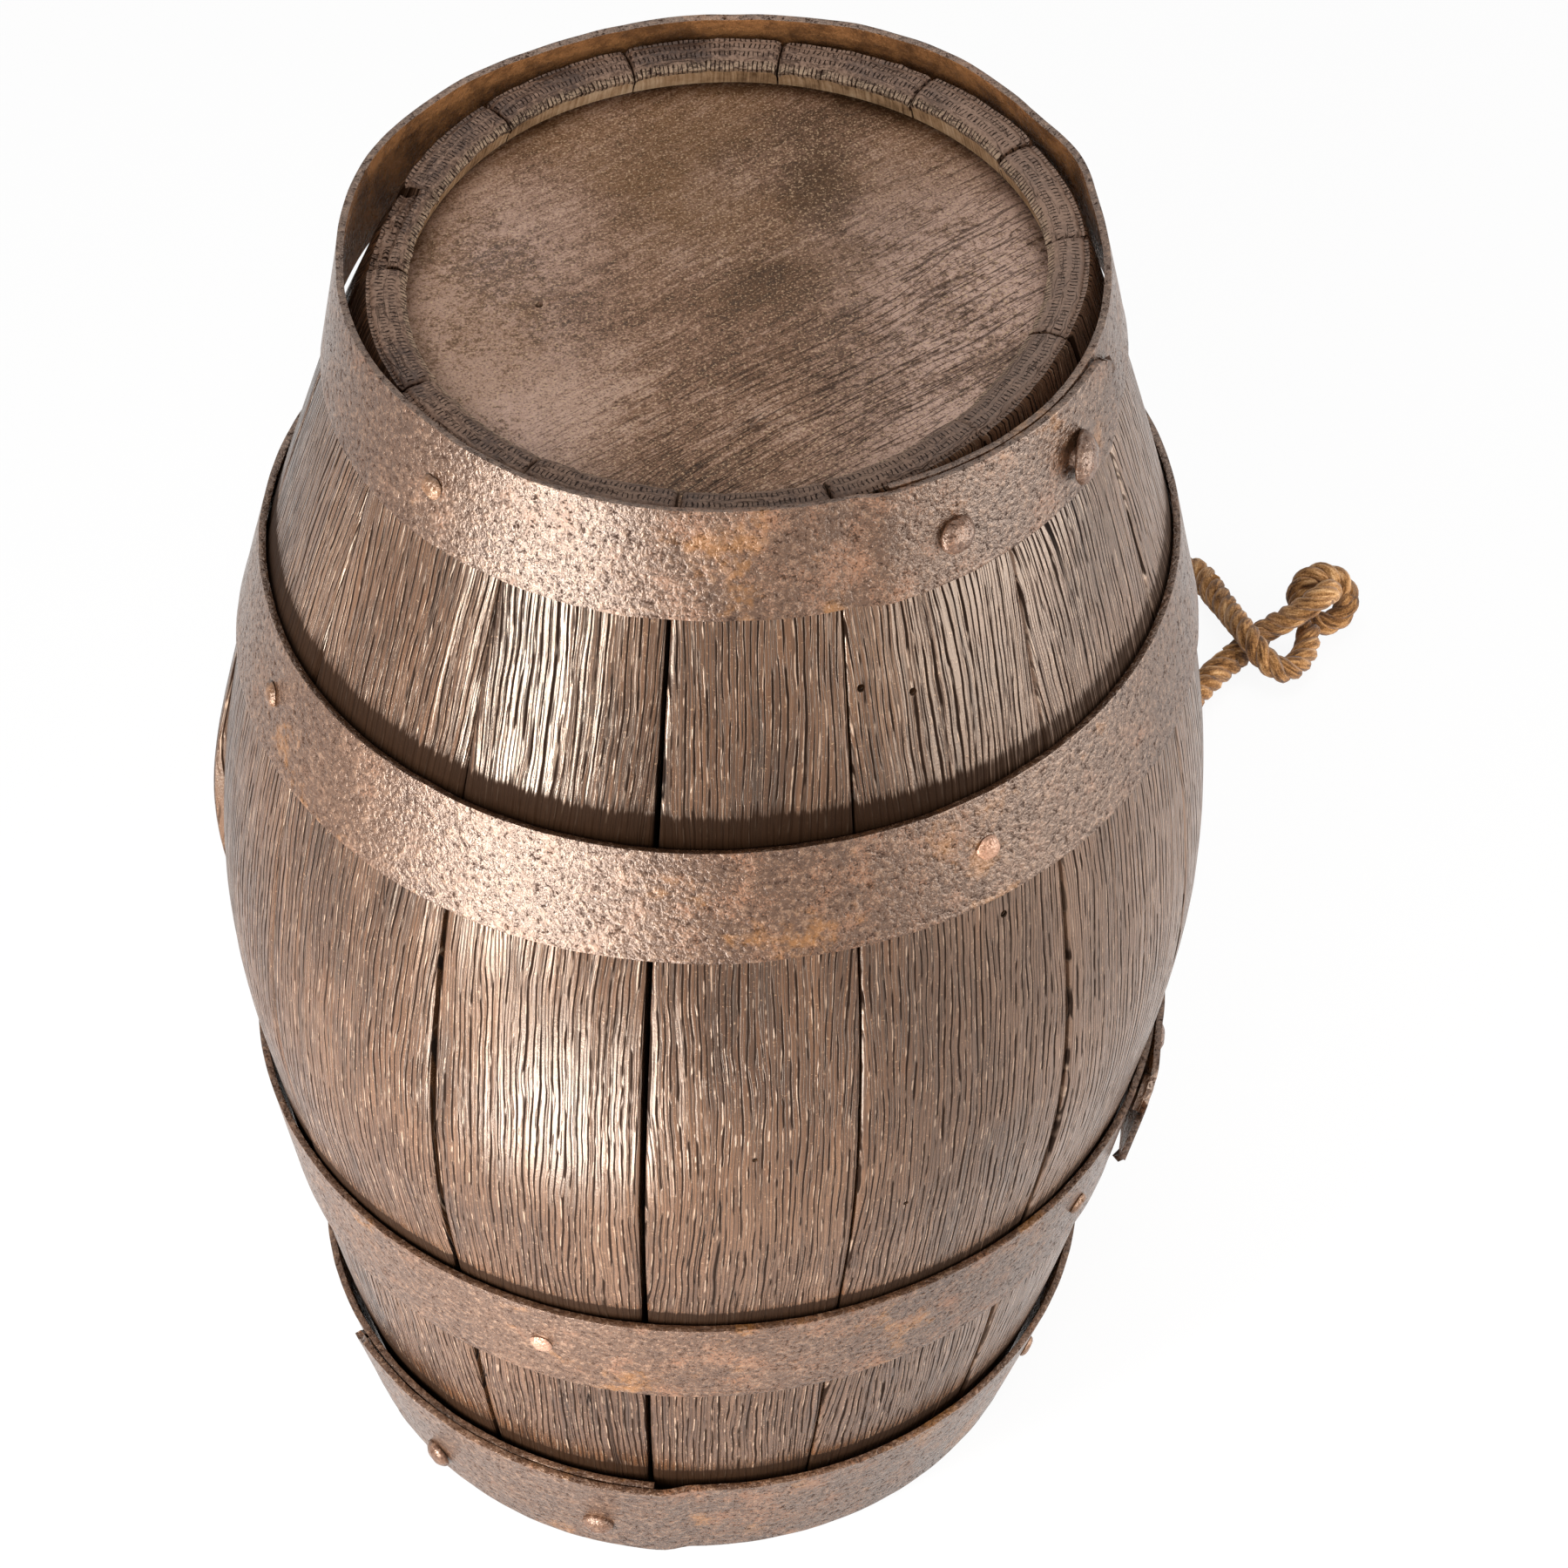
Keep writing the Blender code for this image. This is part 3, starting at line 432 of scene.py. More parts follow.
def make_stave(index, materials):
    """One stave: worn joint edges, a slightly uneven face and end, and the holes that fall in it."""
    following = (index + 1) % len(JOINT_AZIMUTHS)
    gaps = [WIDE_JOINT_GAP if i in WIDE_JOINTS else JOINT_GAP for i in (index, following)]
    start = math.radians(JOINT_AZIMUTHS[index]) + gaps[0] / 2
    stop = math.radians(JOINT_AZIMUTHS[following] + (360 if following == 0 else 0)) - gaps[1] / 2
    rng = random.Random(40 + index)
    seed = index * 3.71
    middle, width = (start + stop) / 2, (stop - start) * BILGE_RADIUS
    first = JOINT_RUNS[-1]
    steps = max(6, round((width - 2 * first) / (0.0011 if index == PROUD_STAVE else 0.0038)))
    runs = list(JOINT_RUNS[:-1]) + [first + (width - 2 * first) * i / steps for i in range(steps + 1)]
    runs += [width - d for d in reversed(JOINT_RUNS[:-1])]
    offset, tilt, cup = (rng.uniform(-0.00025, 0.0002) for _ in range(3))
    top = rng.uniform(-0.0009, 0.0001)
    outline = stave_rows(index)
    points, grain, ring = [], [], []
    for radius, z, kind in outline:
        outer = barrel_radius(z)
        end_radius = barrel_radius(KEG_HEIGHT if z > UPPER_PART else 0)
        row, row_grain, row_ring = [], [], []
        for d in runs:
            share = d / width
            near = min(d, width - d)
            side = -1 if d < width / 2 else 1
            azimuth = start + (stop - start) * share
            azimuth += side * math.exp(-near / 0.002) * (0.00022 * ripple(z * 34, seed + side * 5)
                                                         + 0.00010 * ripple(z * 150, seed + side * 3)) / outer
            if (index if side < 0 else following) in SHUT_JOINTS:
                azimuth += (side * 0.40 * WIDE_JOINT_GAP * smoothstep(0.285, 0.298, z)
                            * max(0.0, 1 - near / 0.01))
            r, zz = radius, z
            across = (share - 0.5) * 2
            if kind == "out":
                r += offset + tilt * across - cup * (1 - across * across)
                r += 0.00022 * ripple(z * 16, seed, across * 1.3) - 0.0006 * math.exp(-near / 0.0006)
                r += 0.00012 * ripple(z * 12, seed + 9, d * 330)
            r -= bends(STAVES_DRAWN_IN, azimuth) * smoothstep(KEG_HEIGHT - 0.042, KEG_HEIGHT - 0.006, z)
            if z > KEG_HEIGHT - 0.005:
                zz += top + 0.00045 * ripple(azimuth * 60, radius * 400, seed)
                zz -= 0.0011 * math.exp(-near / 0.0009)
                r += (0.00045 * ripple(azimuth * 45, 2.0, seed) if kind != "out" else 0.0)
            if index == PROUD_STAVE and kind != "in" and z > UPPER_PART:
                zz -= broken_end(azimuth, radius) * smoothstep(KEG_HEIGHT - 0.010, KEG_HEIGHT - 0.0014, z)
            row.append(around(azimuth, r, zz))
            row_grain.append((index * 0.43 + outer * (azimuth - middle) + (outer - r), z))
            row_ring.append((azimuth * END_RADIUS, end_radius - radius))
        points.append(row)
        grain.append(row_grain)
        ring.append(row_ring)
    bm = bmesh.new()
    where = wrought_sheet(bm, points, closed_rows=True, capped=True, uvs={"grain": grain, "ring": ring})
    for face in bm.faces:
        if len(face.verts) == 4:
            kinds = {outline[where[vert][0]][2] for vert in face.verts}
            face.material_index = 1 if "end" in kinds else 2 if kinds == {"in"} else 0
    face_outward(bm)
    name = f"stave_{index + 1:02d}"
    obj = finish_piece(name + "_wood", bm, materials, name)
    for degrees, z, size in STAVE_HOLES:
        if math.degrees(start) < degrees < math.degrees(stop):
            azimuth = math.radians(degrees)
            outward = Vector((math.cos(azimuth), math.sin(azimuth), 0))
            worm_hole(obj, around(azimuth, barrel_radius(z), z), outward, size)
    if index == BUNG_STAVE:
        reach = 2 * STAVE_THICKNESS
        profile = [(0, reach), (bung_radius(reach) + SEAT, reach), (bung_radius(-reach) + SEAT, -reach),
                   (0, -reach)]
        bore_out(obj, profile, 48, bung_place(), Vector((0, 1, 0)), BUNG_UNEVEN, BUNG_SEED)


def bung_radius(x):
    """The bung's radius this far out from the stave's face. Its hole is wider all round by SEAT."""
    return BUNG_HOLE_RADIUS - SEAT + BUNG_TAPER * x


def bung_place():
    """Where the bung's axis meets the back stave's outer face."""
    return around(math.radians(BUNG_AZIMUTH), barrel_radius(KEG_HEIGHT / 2), KEG_HEIGHT / 2)


def make_bung(materials):
    """A tapered plug with an eased outer end."""
    rim, driven = bung_radius(BUNG_PROUD), -BUNG_DRIVEN
    profile = [(0, BUNG_PROUD), (0.004, BUNG_PROUD), (0.008, 0.0109), (rim - 0.0015, 0.0108),
               (rim - 0.0004, 0.0103), (bung_radius(0.010), 0.0094)]
    profile += [(bung_radius(x), x) for x in (0.007, 0.004, 0.001, -0.002, -0.0048)]
    profile += [(bung_radius(driven) - 0.0015, driven), (0, driven)]
    bm = turned(profile, 48, bung_place(), Vector((0, 1, 0)), BUNG_UNEVEN, BUNG_SEED)
    finish_piece("bung_plug", bm, materials, "bung", body="bung")


def make_head(node, materials, flip):
    """A disc that sits in the croze, its outer face a little uneven and eased at the rim."""
    face = KEG_HEIGHT - HEAD_DEPTH
    height = KEG_HEIGHT - face if flip else face
    sign = -1 if flip else 1
    bore = barrel_radius(height) - STAVE_THICKNESS
    rim, flat = bore + TONGUE_LENGTH, bore - HEAD_BEVEL_LENGTH
    outline = [(r, 0.0) for r in (0.002, 0.006)]
    outline += [(0.01 + flat * i / HEAD_RINGS, 0.0) for i in range(HEAD_RINGS + 1)]
    outline += [(bore - 0.0010, -0.0002), (rim, -0.0006), (rim, -TONGUE_THICKNESS),
                (bore - SEAT, -TONGUE_THICKNESS), (flat, -HEAD_THICKNESS), (bore * 0.5, -HEAD_THICKNESS)]
    bm = bmesh.new()
    spun_profile(bm, outline, HEAD_SIDES)
    bmesh.ops.holes_fill(bm, edges=[e for e in bm.edges if e.is_boundary], sides=0)
    for vert in bm.verts:
        x, y, z = vert.co
        if z == 0:
            z = 0.00035 * ripple(x * 22, y * 22, sign * 4) * smoothstep(bore, bore - 0.01, math.hypot(x, y))
        vert.co = Vector((RACK * height + x, y, height + sign * z)) - SHIFT
    face_outward(bm)
    obj = finish_piece(node + "_board", bm, materials, node)
    for x, y, size in () if flip else HEAD_HOLES:
        worm_hole(obj, Vector((RACK * face + x, y, face)) - SHIFT, Vector((0, 0, 1)), size)


# Iron

def make_hoop(name, materials):
    """A strap rolled round the keg and lapped on itself, hammered uneven, with worn edges."""
    hoop = HOOPS[name]
    lap, turn = math.radians(hoop["lap"]), hoop["turn"]
    length = 2 * math.pi + lap
    finish = math.radians(hoop["end"])
    width = hoop["high"] - hoop["low"]
    middle_radius = barrel_radius((hoop["low"] + hoop["high"]) / 2)
    steps = round(length * middle_radius / HOOP_STEP)
    seed = hoop["low"] * 97
    points = []
    for up in HOOP_RISES:
        row = []
        for i in range(steps + 1):
            along = length * i / steps
            before_end = length - along
            layer = smoothstep(0, 1, (along - (2 * math.pi - JOGGLE)) / (JOGGLE * 0.85))
            clip = max(0.0, CORNER_CLIP - before_end * middle_radius) / width
            rise = min(1 - clip, max(clip, up))
            azimuth = finish - turn * before_end
            z = hoop["low"] + rise * width
            r = hoop_inside(name, azimuth, z, layer)
            s = along * middle_radius
            free = layer if before_end < lap else (1.0 if along > lap else 0.0)
            r += (free * 0.00022 * abs(ripple(s * 95, z * 120, seed))
                  + free * 0.00016 * ripple(s * 28, z * 30, seed))
            r += hoop["lift"] * smoothstep(math.radians(12), 0, before_end)
            if along < lap:
                r -= 0.00012 * (1 - layer)
            edge = (up - 0.5) * 2
            wave = ripple(s * 24, edge * 3, seed) + 0.5 * ripple(s * 90, edge * 7, seed)
            z += hoop["wave"] * abs(edge) ** 6 * wave
            row.append(around(azimuth, r, z))
        points.append(row)
    bm = bmesh.new()
    wrought_sheet(bm, points)
    bm.faces.ensure_lookup_table()
    face = bm.faces[len(bm.faces) // 2]
    centre = face.calc_center_median()
    face.normal_update()
    if face.normal.dot(Vector((centre.x, centre.y, 0))) < 0:
        bmesh.ops.reverse_faces(bm, faces=bm.faces)
    obj = finish_piece(name + "_iron", bm, materials, name, sharp=30)
    skin = obj.modifiers.new("iron", "SOLIDIFY")
    skin.thickness = HOOP_THICKNESS
    skin.offset = 1.0
    # the second material is a rustier, brighter copy that also paints the light falling on the inner face
    skin.material_offset = 1  # the strap's inner face has the second material
    worn = obj.modifiers.new("worn", "BEVEL")
    worn.width = 0.00045
    worn.segments = 2
    worn.limit_method = "ANGLE"
    worn.angle_limit = math.radians(50)


def make_pins(name, rivet, nail, worn_nail):
    """The domed rivets of a hoop's lap, some of them leaning, and its flat clench nails."""
    hoop = HOOPS[name]
    stack = 2 * HOOP_THICKNESS + LAYER_GAP
    for number, (back, share, radius) in enumerate(hoop["rivets"]):
        seat, outward = on_hoop(name, math.radians(hoop["end"] - hoop["turn"] * back), share, stack + SEAT)
        dome = [(radius * math.sin(a), radius * RIVET_DOME * math.cos(a)) for a in
                (math.radians(d) for d in range(0, 86, 8))]
        lean = math.radians(RIVET_LEANS.get((name, number), 0))
        leaning = Matrix.Rotation(lean, 3, "Z") @ outward
        seat += outward * (radius * abs(math.sin(lean)) * 0.55)
        root = -0.0012 - radius * math.sin(abs(lean))
        neck = [(radius, -0.0001), (radius * 0.94, -0.0006), (0.0030, -0.0006), (0.0026, root), (0, root)]
        bm = turned(dome + neck, 40, seat, leaning, 0.10, number + hoop["low"] * 50)
        node = f"{name}_rivet_{number + 1}"
        finish_piece(node + "_head", bm, [rivet], node, sharp=50)
    r, h = NAIL_HEAD_RADIUS, NAIL_HEAD_HEIGHT
    for number, degrees in enumerate(hoop["nails"]):
        seat, outward = on_hoop(name, math.radians(degrees), 0.5, HOOP_THICKNESS + SEAT)
        bm = turned([(0, h), (r * 0.35, h * 0.98), (r * 0.7, h * 0.8), (r * 0.92, h * 0.45), (r, 0.0001),
                     (r * 0.9, -0.0004), (0.0012, -0.0004), (0, -0.0004)], 28, seat, outward, 0.22, degrees)
        node = f"{name}_nail_{number + 1}"
        material = worn_nail if (name, degrees) in WORN_NAILS else nail
        finish_piece(node + "_head", bm, [material], node, sharp=50)


def make_staple(face, outward, up, materials):
    """A round rod bent to an eye, its two feet let into the stave."""
    rod = STAPLE_ROD / 2
    half = STAPLE_EYE_HEIGHT / 2 + rod
    top = STAPLE_EYE_DEPTH + rod
    bend = half * 0.8
    corner = [(half - bend * (1 - math.cos(a)), top - bend * (1 - math.sin(a)))
              for a in (math.radians(d) for d in range(0, 91, 6))]
    outline = [(half, -0.010), (half, -0.004), (half, 0.0)] + corner
    outline += [(-u, w) for u, w in reversed(outline)]
    points = [face + up * u + outward * w for u, w in outline]
    rows = [circle(centre, u, v, rod * (1 + 0.06 * ripple(k * 0.35, 2.0)), 20)
            for k, (centre, (u, v)) in enumerate(zip(points, moving_frames(points)))]
    bm = bmesh.new()
    wrought_sheet(bm, rows, closed_columns=True, capped=True)
    face_outward(bm)
    finish_piece("rope_staple_rod", bm, materials, "rope_staple")


# Rope

def lengths_along(points):
    run = [0.0]
    for a, b in zip(points, points[1:]):
        run.append(run[-1] + (b - a).length)
    return run


def smooth(points, spacing, straight_ends=False):
    """Evenly spaced points on a smooth curve through the route's own points, and the curve's length."""
    padded = [Vector(p) for p in points]
    if straight_ends:
        route = padded[1:-1]
    else:
        route = padded
        padded = [route[0] * 2 - route[1]] + route + [route[-1] * 2 - route[-2]]
    fine = []
    for p0, p1, p2, p3 in zip(padded, padded[1:], padded[2:], padded[3:]):
        for i in range(24):
            t = i / 24
            fine.append(0.5 * ((2 * p1) + (p2 - p0) * t + (2 * p0 - 5 * p1 + 4 * p2 - p3) * t * t
                               + (3 * p1 - p0 - 3 * p2 + p3) * t ** 3))
    fine.append(route[-1])
    if straight_ends:
        fine = [padded[0]] + fine + [padded[-1]]
    run = lengths_along(fine)
    count = max(2, round(run[-1] / spacing))
    even, i = [], 0
    for k in range(count + 1):
        target = run[-1] * k / count
        while i < len(run) - 2 and run[i + 1] < target:
            i += 1
        even.append(fine[i].lerp(fine[i + 1], (target - run[i]) / max(run[i + 1] - run[i], 1e-9)))
    return even, run[-1]


def moving_frames(points):
    """For each point two directions square to the line, turning as little as they can."""
    last = len(points) - 1
    tangents = [(points[min(i + 1, last)] - points[max(i - 1, 0)]).normalized() for i in range(last + 1)]
    side = tangents[0].orthogonal().normalized()
    frames = []
    for t in tangents:
        side = (side - t * side.dot(t)).normalized()
        frames.append((side, t.cross(side)))
    return frames


def laid_rope(bm, points, frames, first, last, radii, tapered_end=False):
    """Three twisted strands along the points from first to last; each strand is a round tube."""
    run = lengths_along(points)
    for strand in range(3):
        centres = []
        for i in range(first, last + 1):
            angle = 2 * math.pi * (run[i] / ROPE_PITCH + strand / 3)
            u, v = frames[i]
            off = radii[i] * STRAND_OFF_CENTRE
            wander = 0.04 * ripple(run[i] * 160, strand * 7.0)
            centres.append(points[i] + (u * math.cos(angle) + v * math.sin(angle)) * off * (1 + wander))
        rows, places = [], []
        for k, (centre, (u, v)) in enumerate(zip(centres, moving_frames(centres))):
            i = first + k
            r = radii[i] * STRAND_RADIUS
            left = len(centres) - 1 - k
            if tapered_end and left < 3:
                r *= (0.35, 0.7, 0.9)[left]
            rows.append(circle(centre, u, v, r, STRAND_SIDES))
            places.append([(run[i], n / STRAND_SIDES * 0.012 + strand * 0.1) for n in range(STRAND_SIDES)])
        wrought_sheet(bm, rows, closed_columns=True, capped=True, uvs={"lay": places})
    face_outward(bm)


def make_rope(materials):
    """The sling: a bight through the staple, two strands down to the floor, and the knot that joins them."""
    azimuth = math.radians(STAPLE_AZIMUTH)
    face, outward = on_hoop(STAPLE_HOOP, azimuth, 0.5, HOOP_THICKNESS)
    sideways = Vector((-math.sin(azimuth), math.cos(azimuth), 0))
    up = -sideways.cross(outward)
    eye = face + outward * (STAPLE_EYE_DEPTH / 2) - up * (STAPLE_EYE_HEIGHT / 2 - ROPE_RADIUS - SEAT)
    routes, exits, lengths = {}, {}, {}
    for label, side, hang, lie, seam in (("a", 1, HANG_A, LIE_A, KNOT_A), ("b", -1, HANG_B, LIE_B, KNOT_B)):
        leave = eye + sideways * side * (BIGHT_HALF_LENGTH + SEAT)
        onward = leave + sideways * side * ROPE_RADIUS
        route = [around(math.radians(a), barrel_radius(share * KEG_HEIGHT) + off, share * KEG_HEIGHT)
                 for a, off, share in hang]
        route += [Vector((x, y, FLOOR_LINE)) - SHIFT for x, y in lie]
        start, onwards = Vector(seam[0]) - SHIFT, Vector(seam[1]) - SHIFT
        along = (onwards - start).normalized()
        routes[label], lengths[label] = smooth([leave, onward, *route, start - along * ROPE_RADIUS * 2,
                                                start - along * SEAT], ROPE_STEP, straight_ends=True)
        exits[label] = leave
    bight = [eye + sideways * BIGHT_HALF_LENGTH * s for s in (1, 0.75, 0.5, 0.25, 0, -0.25, -0.5, -0.75, -1)]
    whole = list(reversed(routes["a"])) + bight + routes["b"]
    frames = moving_frames(whole)
    first_bight = len(routes["a"])
    first_b = first_bight + len(bight)
    for label, first, last in (("strand_a", 0, first_bight - 1), ("bight", first_bight, first_b - 1),
                               ("strand_b", first_b, len(whole) - 1)):
        bm = bmesh.new()
        laid_rope(bm, whole, frames, first, last, [ROPE_RADIUS] * len(whole))
        finish_piece("rope_" + label + "_laid", bm, materials, "rope_" + label,
                                     sharp=60)
    bm = bmesh.new()
    for route in (KNOT_A, KNOT_B):
        points, _ = smooth([Vector(p) - SHIFT for p in route], KNOT_STEP)
        radii = [KNOT_ROPE_RADIUS + (ROPE_RADIUS - KNOT_ROPE_RADIUS) * max(0.0, 1 - i / 20)
                 for i in range(len(points))]
        laid_rope(bm, points, moving_frames(points), 0, len(points) - 1, radii, tapered_end=True)
    tilt = Matrix.Rotation(KNOT_RING_TILT, 3, "X")
    ring = [Vector(KNOT_RING_CENTRE) - SHIFT + tilt @ Vector((KNOT_RING_RADIUS * math.cos(a),
            KNOT_RING_RADIUS * math.sin(a), 0)) for a in (2 * math.pi * k / 60 for k in range(62))]
    laid_rope(bm, ring, moving_frames(ring), 0, len(ring) - 1, [KNOT_ROPE_RADIUS * 0.96] * len(ring))
    knot = finish_piece("rope_knot_laid", bm, materials, "rope_knot", sharp=60)
    return face, outward, up


# Surfaces

class Surface:
    """A material built node by node; each method gives back the socket it makes."""

    def __init__(self, name):
        self.material = bpy.data.materials.new(name)
        self.material.use_nodes = True
        self.tree = self.material.node_tree
        self.shader = self.tree.nodes["Principled BSDF"]

    def node(self, kind, inputs, **settings):
        node = self.tree.nodes.new(kind)
        for key, value in settings.items():
            setattr(node, key, value)
        for key, value in inputs.items():
            self.feed(node.inputs[key], value)
        return node

    def feed(self, socket, value):
        """Link a socket, or set its value; a colour of three numbers gets its fourth."""
        if isinstance(value, bpy.types.NodeSocket):
            self.tree.links.new(value, socket)
        elif isinstance(value, tuple) and socket.type == "RGBA":
            socket.default_value = (*value, 1.0)
        else:
            socket.default_value = value

    def uv(self, name):
        return self.node("ShaderNodeUVMap", {}, uv_map=name).outputs[0]

    def place(self):
        return self.node("ShaderNodeTexCoord", {}).outputs["Object"]

    def parts(self, vector):
        return self.node("ShaderNodeSeparateXYZ", {"Vector": vector}).outputs

    def vector(self, x=0.0, y=0.0, z=0.0):
        return self.node("ShaderNodeCombineXYZ", {"X": x, "Y": y, "Z": z}).outputs[0]

    def scaled(self, vector, scale=(1, 1, 1), turn=0.0, move=(0, 0, 0)):
        return self.node("ShaderNodeMapping", {"Vector": vector, "Scale": scale, "Location": move,
                                               "Rotation": (0, 0, math.radians(turn))}).outputs[0]

    def noise(self, vector, scale, detail, rough=0.5, warp=0.0):
        return self.node("ShaderNodeTexNoise", {"Vector": vector, "Scale": scale, "Detail": detail,
                                                "Roughness": rough, "Distortion": warp}).outputs["Fac"]

    def drawn(self, vector, scale, detail, rough=0.5, move=(0, 0, 0), turn=0.0):
        """Noise drawn out by a scale for each direction."""
        return self.noise(self.scaled(vector, (*scale, 1)[:3], turn, move), 1, detail, rough)

    def calc(self, operation, *values):
        node = self.node("ShaderNodeMath", {}, operation=operation)
        for socket, value in zip(node.inputs, values):
            self.feed(socket, value)
        return node.outputs[0]

    plus = partialmethod(calc, "ADD")
    minus = partialmethod(calc, "SUBTRACT")
    times = partialmethod(calc, "MULTIPLY")
    most = partialmethod(calc, "MAXIMUM")
    sine = partialmethod(calc, "SINE")

    def total(self, *shares):
        """Values added up, each times its weight."""
        result = None
        for value, weight in shares:
            part = self.times(value, abs(weight))
            result = self.calc("ADD" if weight > 0 else "SUBTRACT", result, part) if result else part
        return result

    def shifted(self, value, wander, by):
        """The value moved to either side by a noise."""
        return self.plus(value, self.times(self.minus(wander, 0.5), by))

    def off(self, value, middle):
        return self.calc("ABSOLUTE", self.minus(value, middle))

    def hairline(self, value, width):
        """Thin lines where a noise passes its middle."""
        return self.band(self.off(value, 0.5), width, 0.0)

    def away(self, vector, point):
        """The distance from a point of the keg."""
        return self.node("ShaderNodeVectorMath", {0: vector, 1: tuple(Vector(point) - SHIFT)},
                         operation="DISTANCE").outputs["Value"]

    def band(self, value, low, high, to_low=0.0, to_high=1.0):
        limits = {"Value": value, "From Min": low, "From Max": high, "To Min": to_low, "To Max": to_high}
        return self.node("ShaderNodeMapRange", limits, interpolation_type="SMOOTHSTEP").outputs[0]

    def ramp(self, value, *stops):
        node = self.node("ShaderNodeValToRGB", {"Fac": value})
        elements = node.color_ramp.elements
        while len(elements) > 1:
            elements.remove(elements[-1])
        for i, (position, colour) in enumerate(stops):
            element = elements[0] if i == 0 else elements.new(position)
            element.position = position
            element.color = (*colour, 1.0)
        return node.outputs[0]

    def mix(self, share, a, b):
        node = self.node("ShaderNodeMix", {0: share}, data_type="RGBA")
        for socket, colour in zip([s for s in node.inputs if s.type == "RGBA"], (a, b)):
            self.feed(socket, colour)
        return [s for s in node.outputs if s.type == "RGBA"][0]

    def painted(self, colour, *layers):
        """The colour under layers of (share, colour), the last one on top."""
        for share, over in layers:
            colour = self.mix(share, colour, over)
        return colour

    def finish(self, colour, roughness, height, depth, specular, tint=(1.0, 0.86, 0.76), metallic=0.0):
        bump = self.node("ShaderNodeBump", {"Strength": 1.0, "Distance": depth, "Height": height})
        for key, value in (("Base Color", colour), ("Roughness", roughness), ("Metallic", metallic),
                           ("Specular IOR Level", specular), ("Specular Tint", tint),
                           ("Normal", bump.outputs[0])):
            self.feed(self.shader.inputs[key], value)
        return self.material


def stave_wood():
    """Weathered oak: shiny faces between thin broken grooves, pale lips with painted glints, long checks,
    grime and painted hoop shadow by the hoops, and painted light that makes the right side paler.
    """
    s = Surface("weathered_stave_oak")
    uv, place = s.uv("grain"), s.place()
    across, along, _ = s.parts(uv)
    across = s.shifted(across, s.drawn(uv, (30, 8), 3, 0.55), 0.010)
    across = s.shifted(across, s.drawn(uv, (500, 110), 1), 0.0005)
    lined = s.vector(across, along)
    coarse = s.drawn(lined, (300, 5), 2)
    streak = s.drawn(lined, (1300, 16), 3, 0.65)
    region = s.drawn(uv, (28, 11), 2, move=(4, 2, 0))
    gate = s.drawn(lined, (420, 52), 2, 0.6, (11, 5, 0))
    dash = s.drawn(lined, (380, 130), 2, 0.6, (7, 13, 0))
    drift = s.drawn(lined, (170, 5), 2, move=(3, 9, 0))
    phase = s.calc("MULTIPLY_ADD", across, 2 * math.pi / GRAIN_STEP, s.times(drift, 11.0))
    second = s.calc("MULTIPLY_ADD", across, 2 * math.pi / FINE_GRAIN_STEP, s.times(drift, -14.0))
    broken = s.minus(gate, s.times(region, 0.35))
    groove = s.times(s.band(s.sine(phase), 0.44, 0.86), s.band(broken, 0.235, 0.315))
    thin = s.times(s.band(s.sine(second), 0.45, 0.95), s.band(broken, 0.40, 0.32, 0, 0.7))
    groove = s.most(groove, thin)
    # lip_and_glint: pale lips beside the grooves, raised a little and painted bright as the glints along the
    # ridges
    lip_and_glint = s.times(s.band(s.sine(s.plus(phase, 1.15)), 0.72, 0.97), s.band(dash, 0.51, 0.62))
    check = s.times(s.hairline(s.drawn(lined, (200, 2.6), 1), 0.004),
                    s.band(s.drawn(uv, (16, 5), 1), 0.50, 0.60))
    patch = s.drawn(place, (13, 13, 8), 5, 0.62)
    stain = s.drawn(uv, (34, 10), 5, 0.68, (3, 7, 0))
    grit = s.noise(place, 1300, 2, 0.6)
    x, _, height = s.parts(place)
    # soil_and_shadow: a band just over each hoop, partly grime and partly the hoop's cast shadow painted near
    # black; weaker towards +X, where the painted shadow narrows
    soil_and_shadow = s.ramp(s.calc("DIVIDE", height, SOIL_AND_SHADOW_HEIGHT), *((at, (value,) * 3) for at, value in SOIL_AND_SHADOW))
    soil_and_shadow = s.times(soil_and_shadow, s.band(stain, 0.25, 0.50, 0.75, 1.0))
    soil_and_shadow = s.times(soil_and_shadow, s.band(x, 0.010, 0.085, 1.0, 0.58))
    ragged = s.calc("MULTIPLY_ADD", s.minus(0.5, streak), 0.9,
                    s.calc("MULTIPLY_ADD", groove, 0.14, soil_and_shadow))
    soil_and_shadow = s.times(s.band(soil_and_shadow, 0.02, 0.12), s.band(ragged, 0.30, 0.62))
    tone = s.total((streak, 0.32), (coarse, 0.10), (patch, 0.32), (stain, 0.26))
    colour = s.ramp(tone, (0.40, (0.018, 0.007, 0.003)), (0.46, (0.038, 0.014, 0.005)),
                    (0.51, (0.066, 0.028, 0.012)), (0.56, (0.096, 0.045, 0.022)),
                    (0.64, (0.165, 0.090, 0.050)))
    red = s.band(s.noise(place, 23, 4, 0.65), 0.50, 0.68, 0, 0.4)
    # painted light: the staves are painted paler towards +X, as if lit from that side
    painted_light_right = s.times(s.band(x, 0.030, 0.125), s.band(stain, 0.30, 0.60, 0.35, 0.60))
    colour = s.painted(
        colour, (red, (0.095, 0.038, 0.015)), (painted_light_right, (0.190, 0.118, 0.082)),
        (s.times(lip_and_glint, 0.58), (0.42, 0.290, 0.205)), (s.band(grit, 0.62, 0.72, 0, 0.5), (0.33, 0.20, 0.12)),
        (s.times(groove, 0.96), (0.009, 0.004, 0.002)), (check, (0.006, 0.003, 0.002)),
        (s.times(soil_and_shadow, 0.94), (0.012, 0.005, 0.002)))
    relief = s.total((coarse, 1.12), (streak, 0.20), (grit, 0.08), (lip_and_glint, 0.08), (groove, -0.16),
                     (check, -0.6))
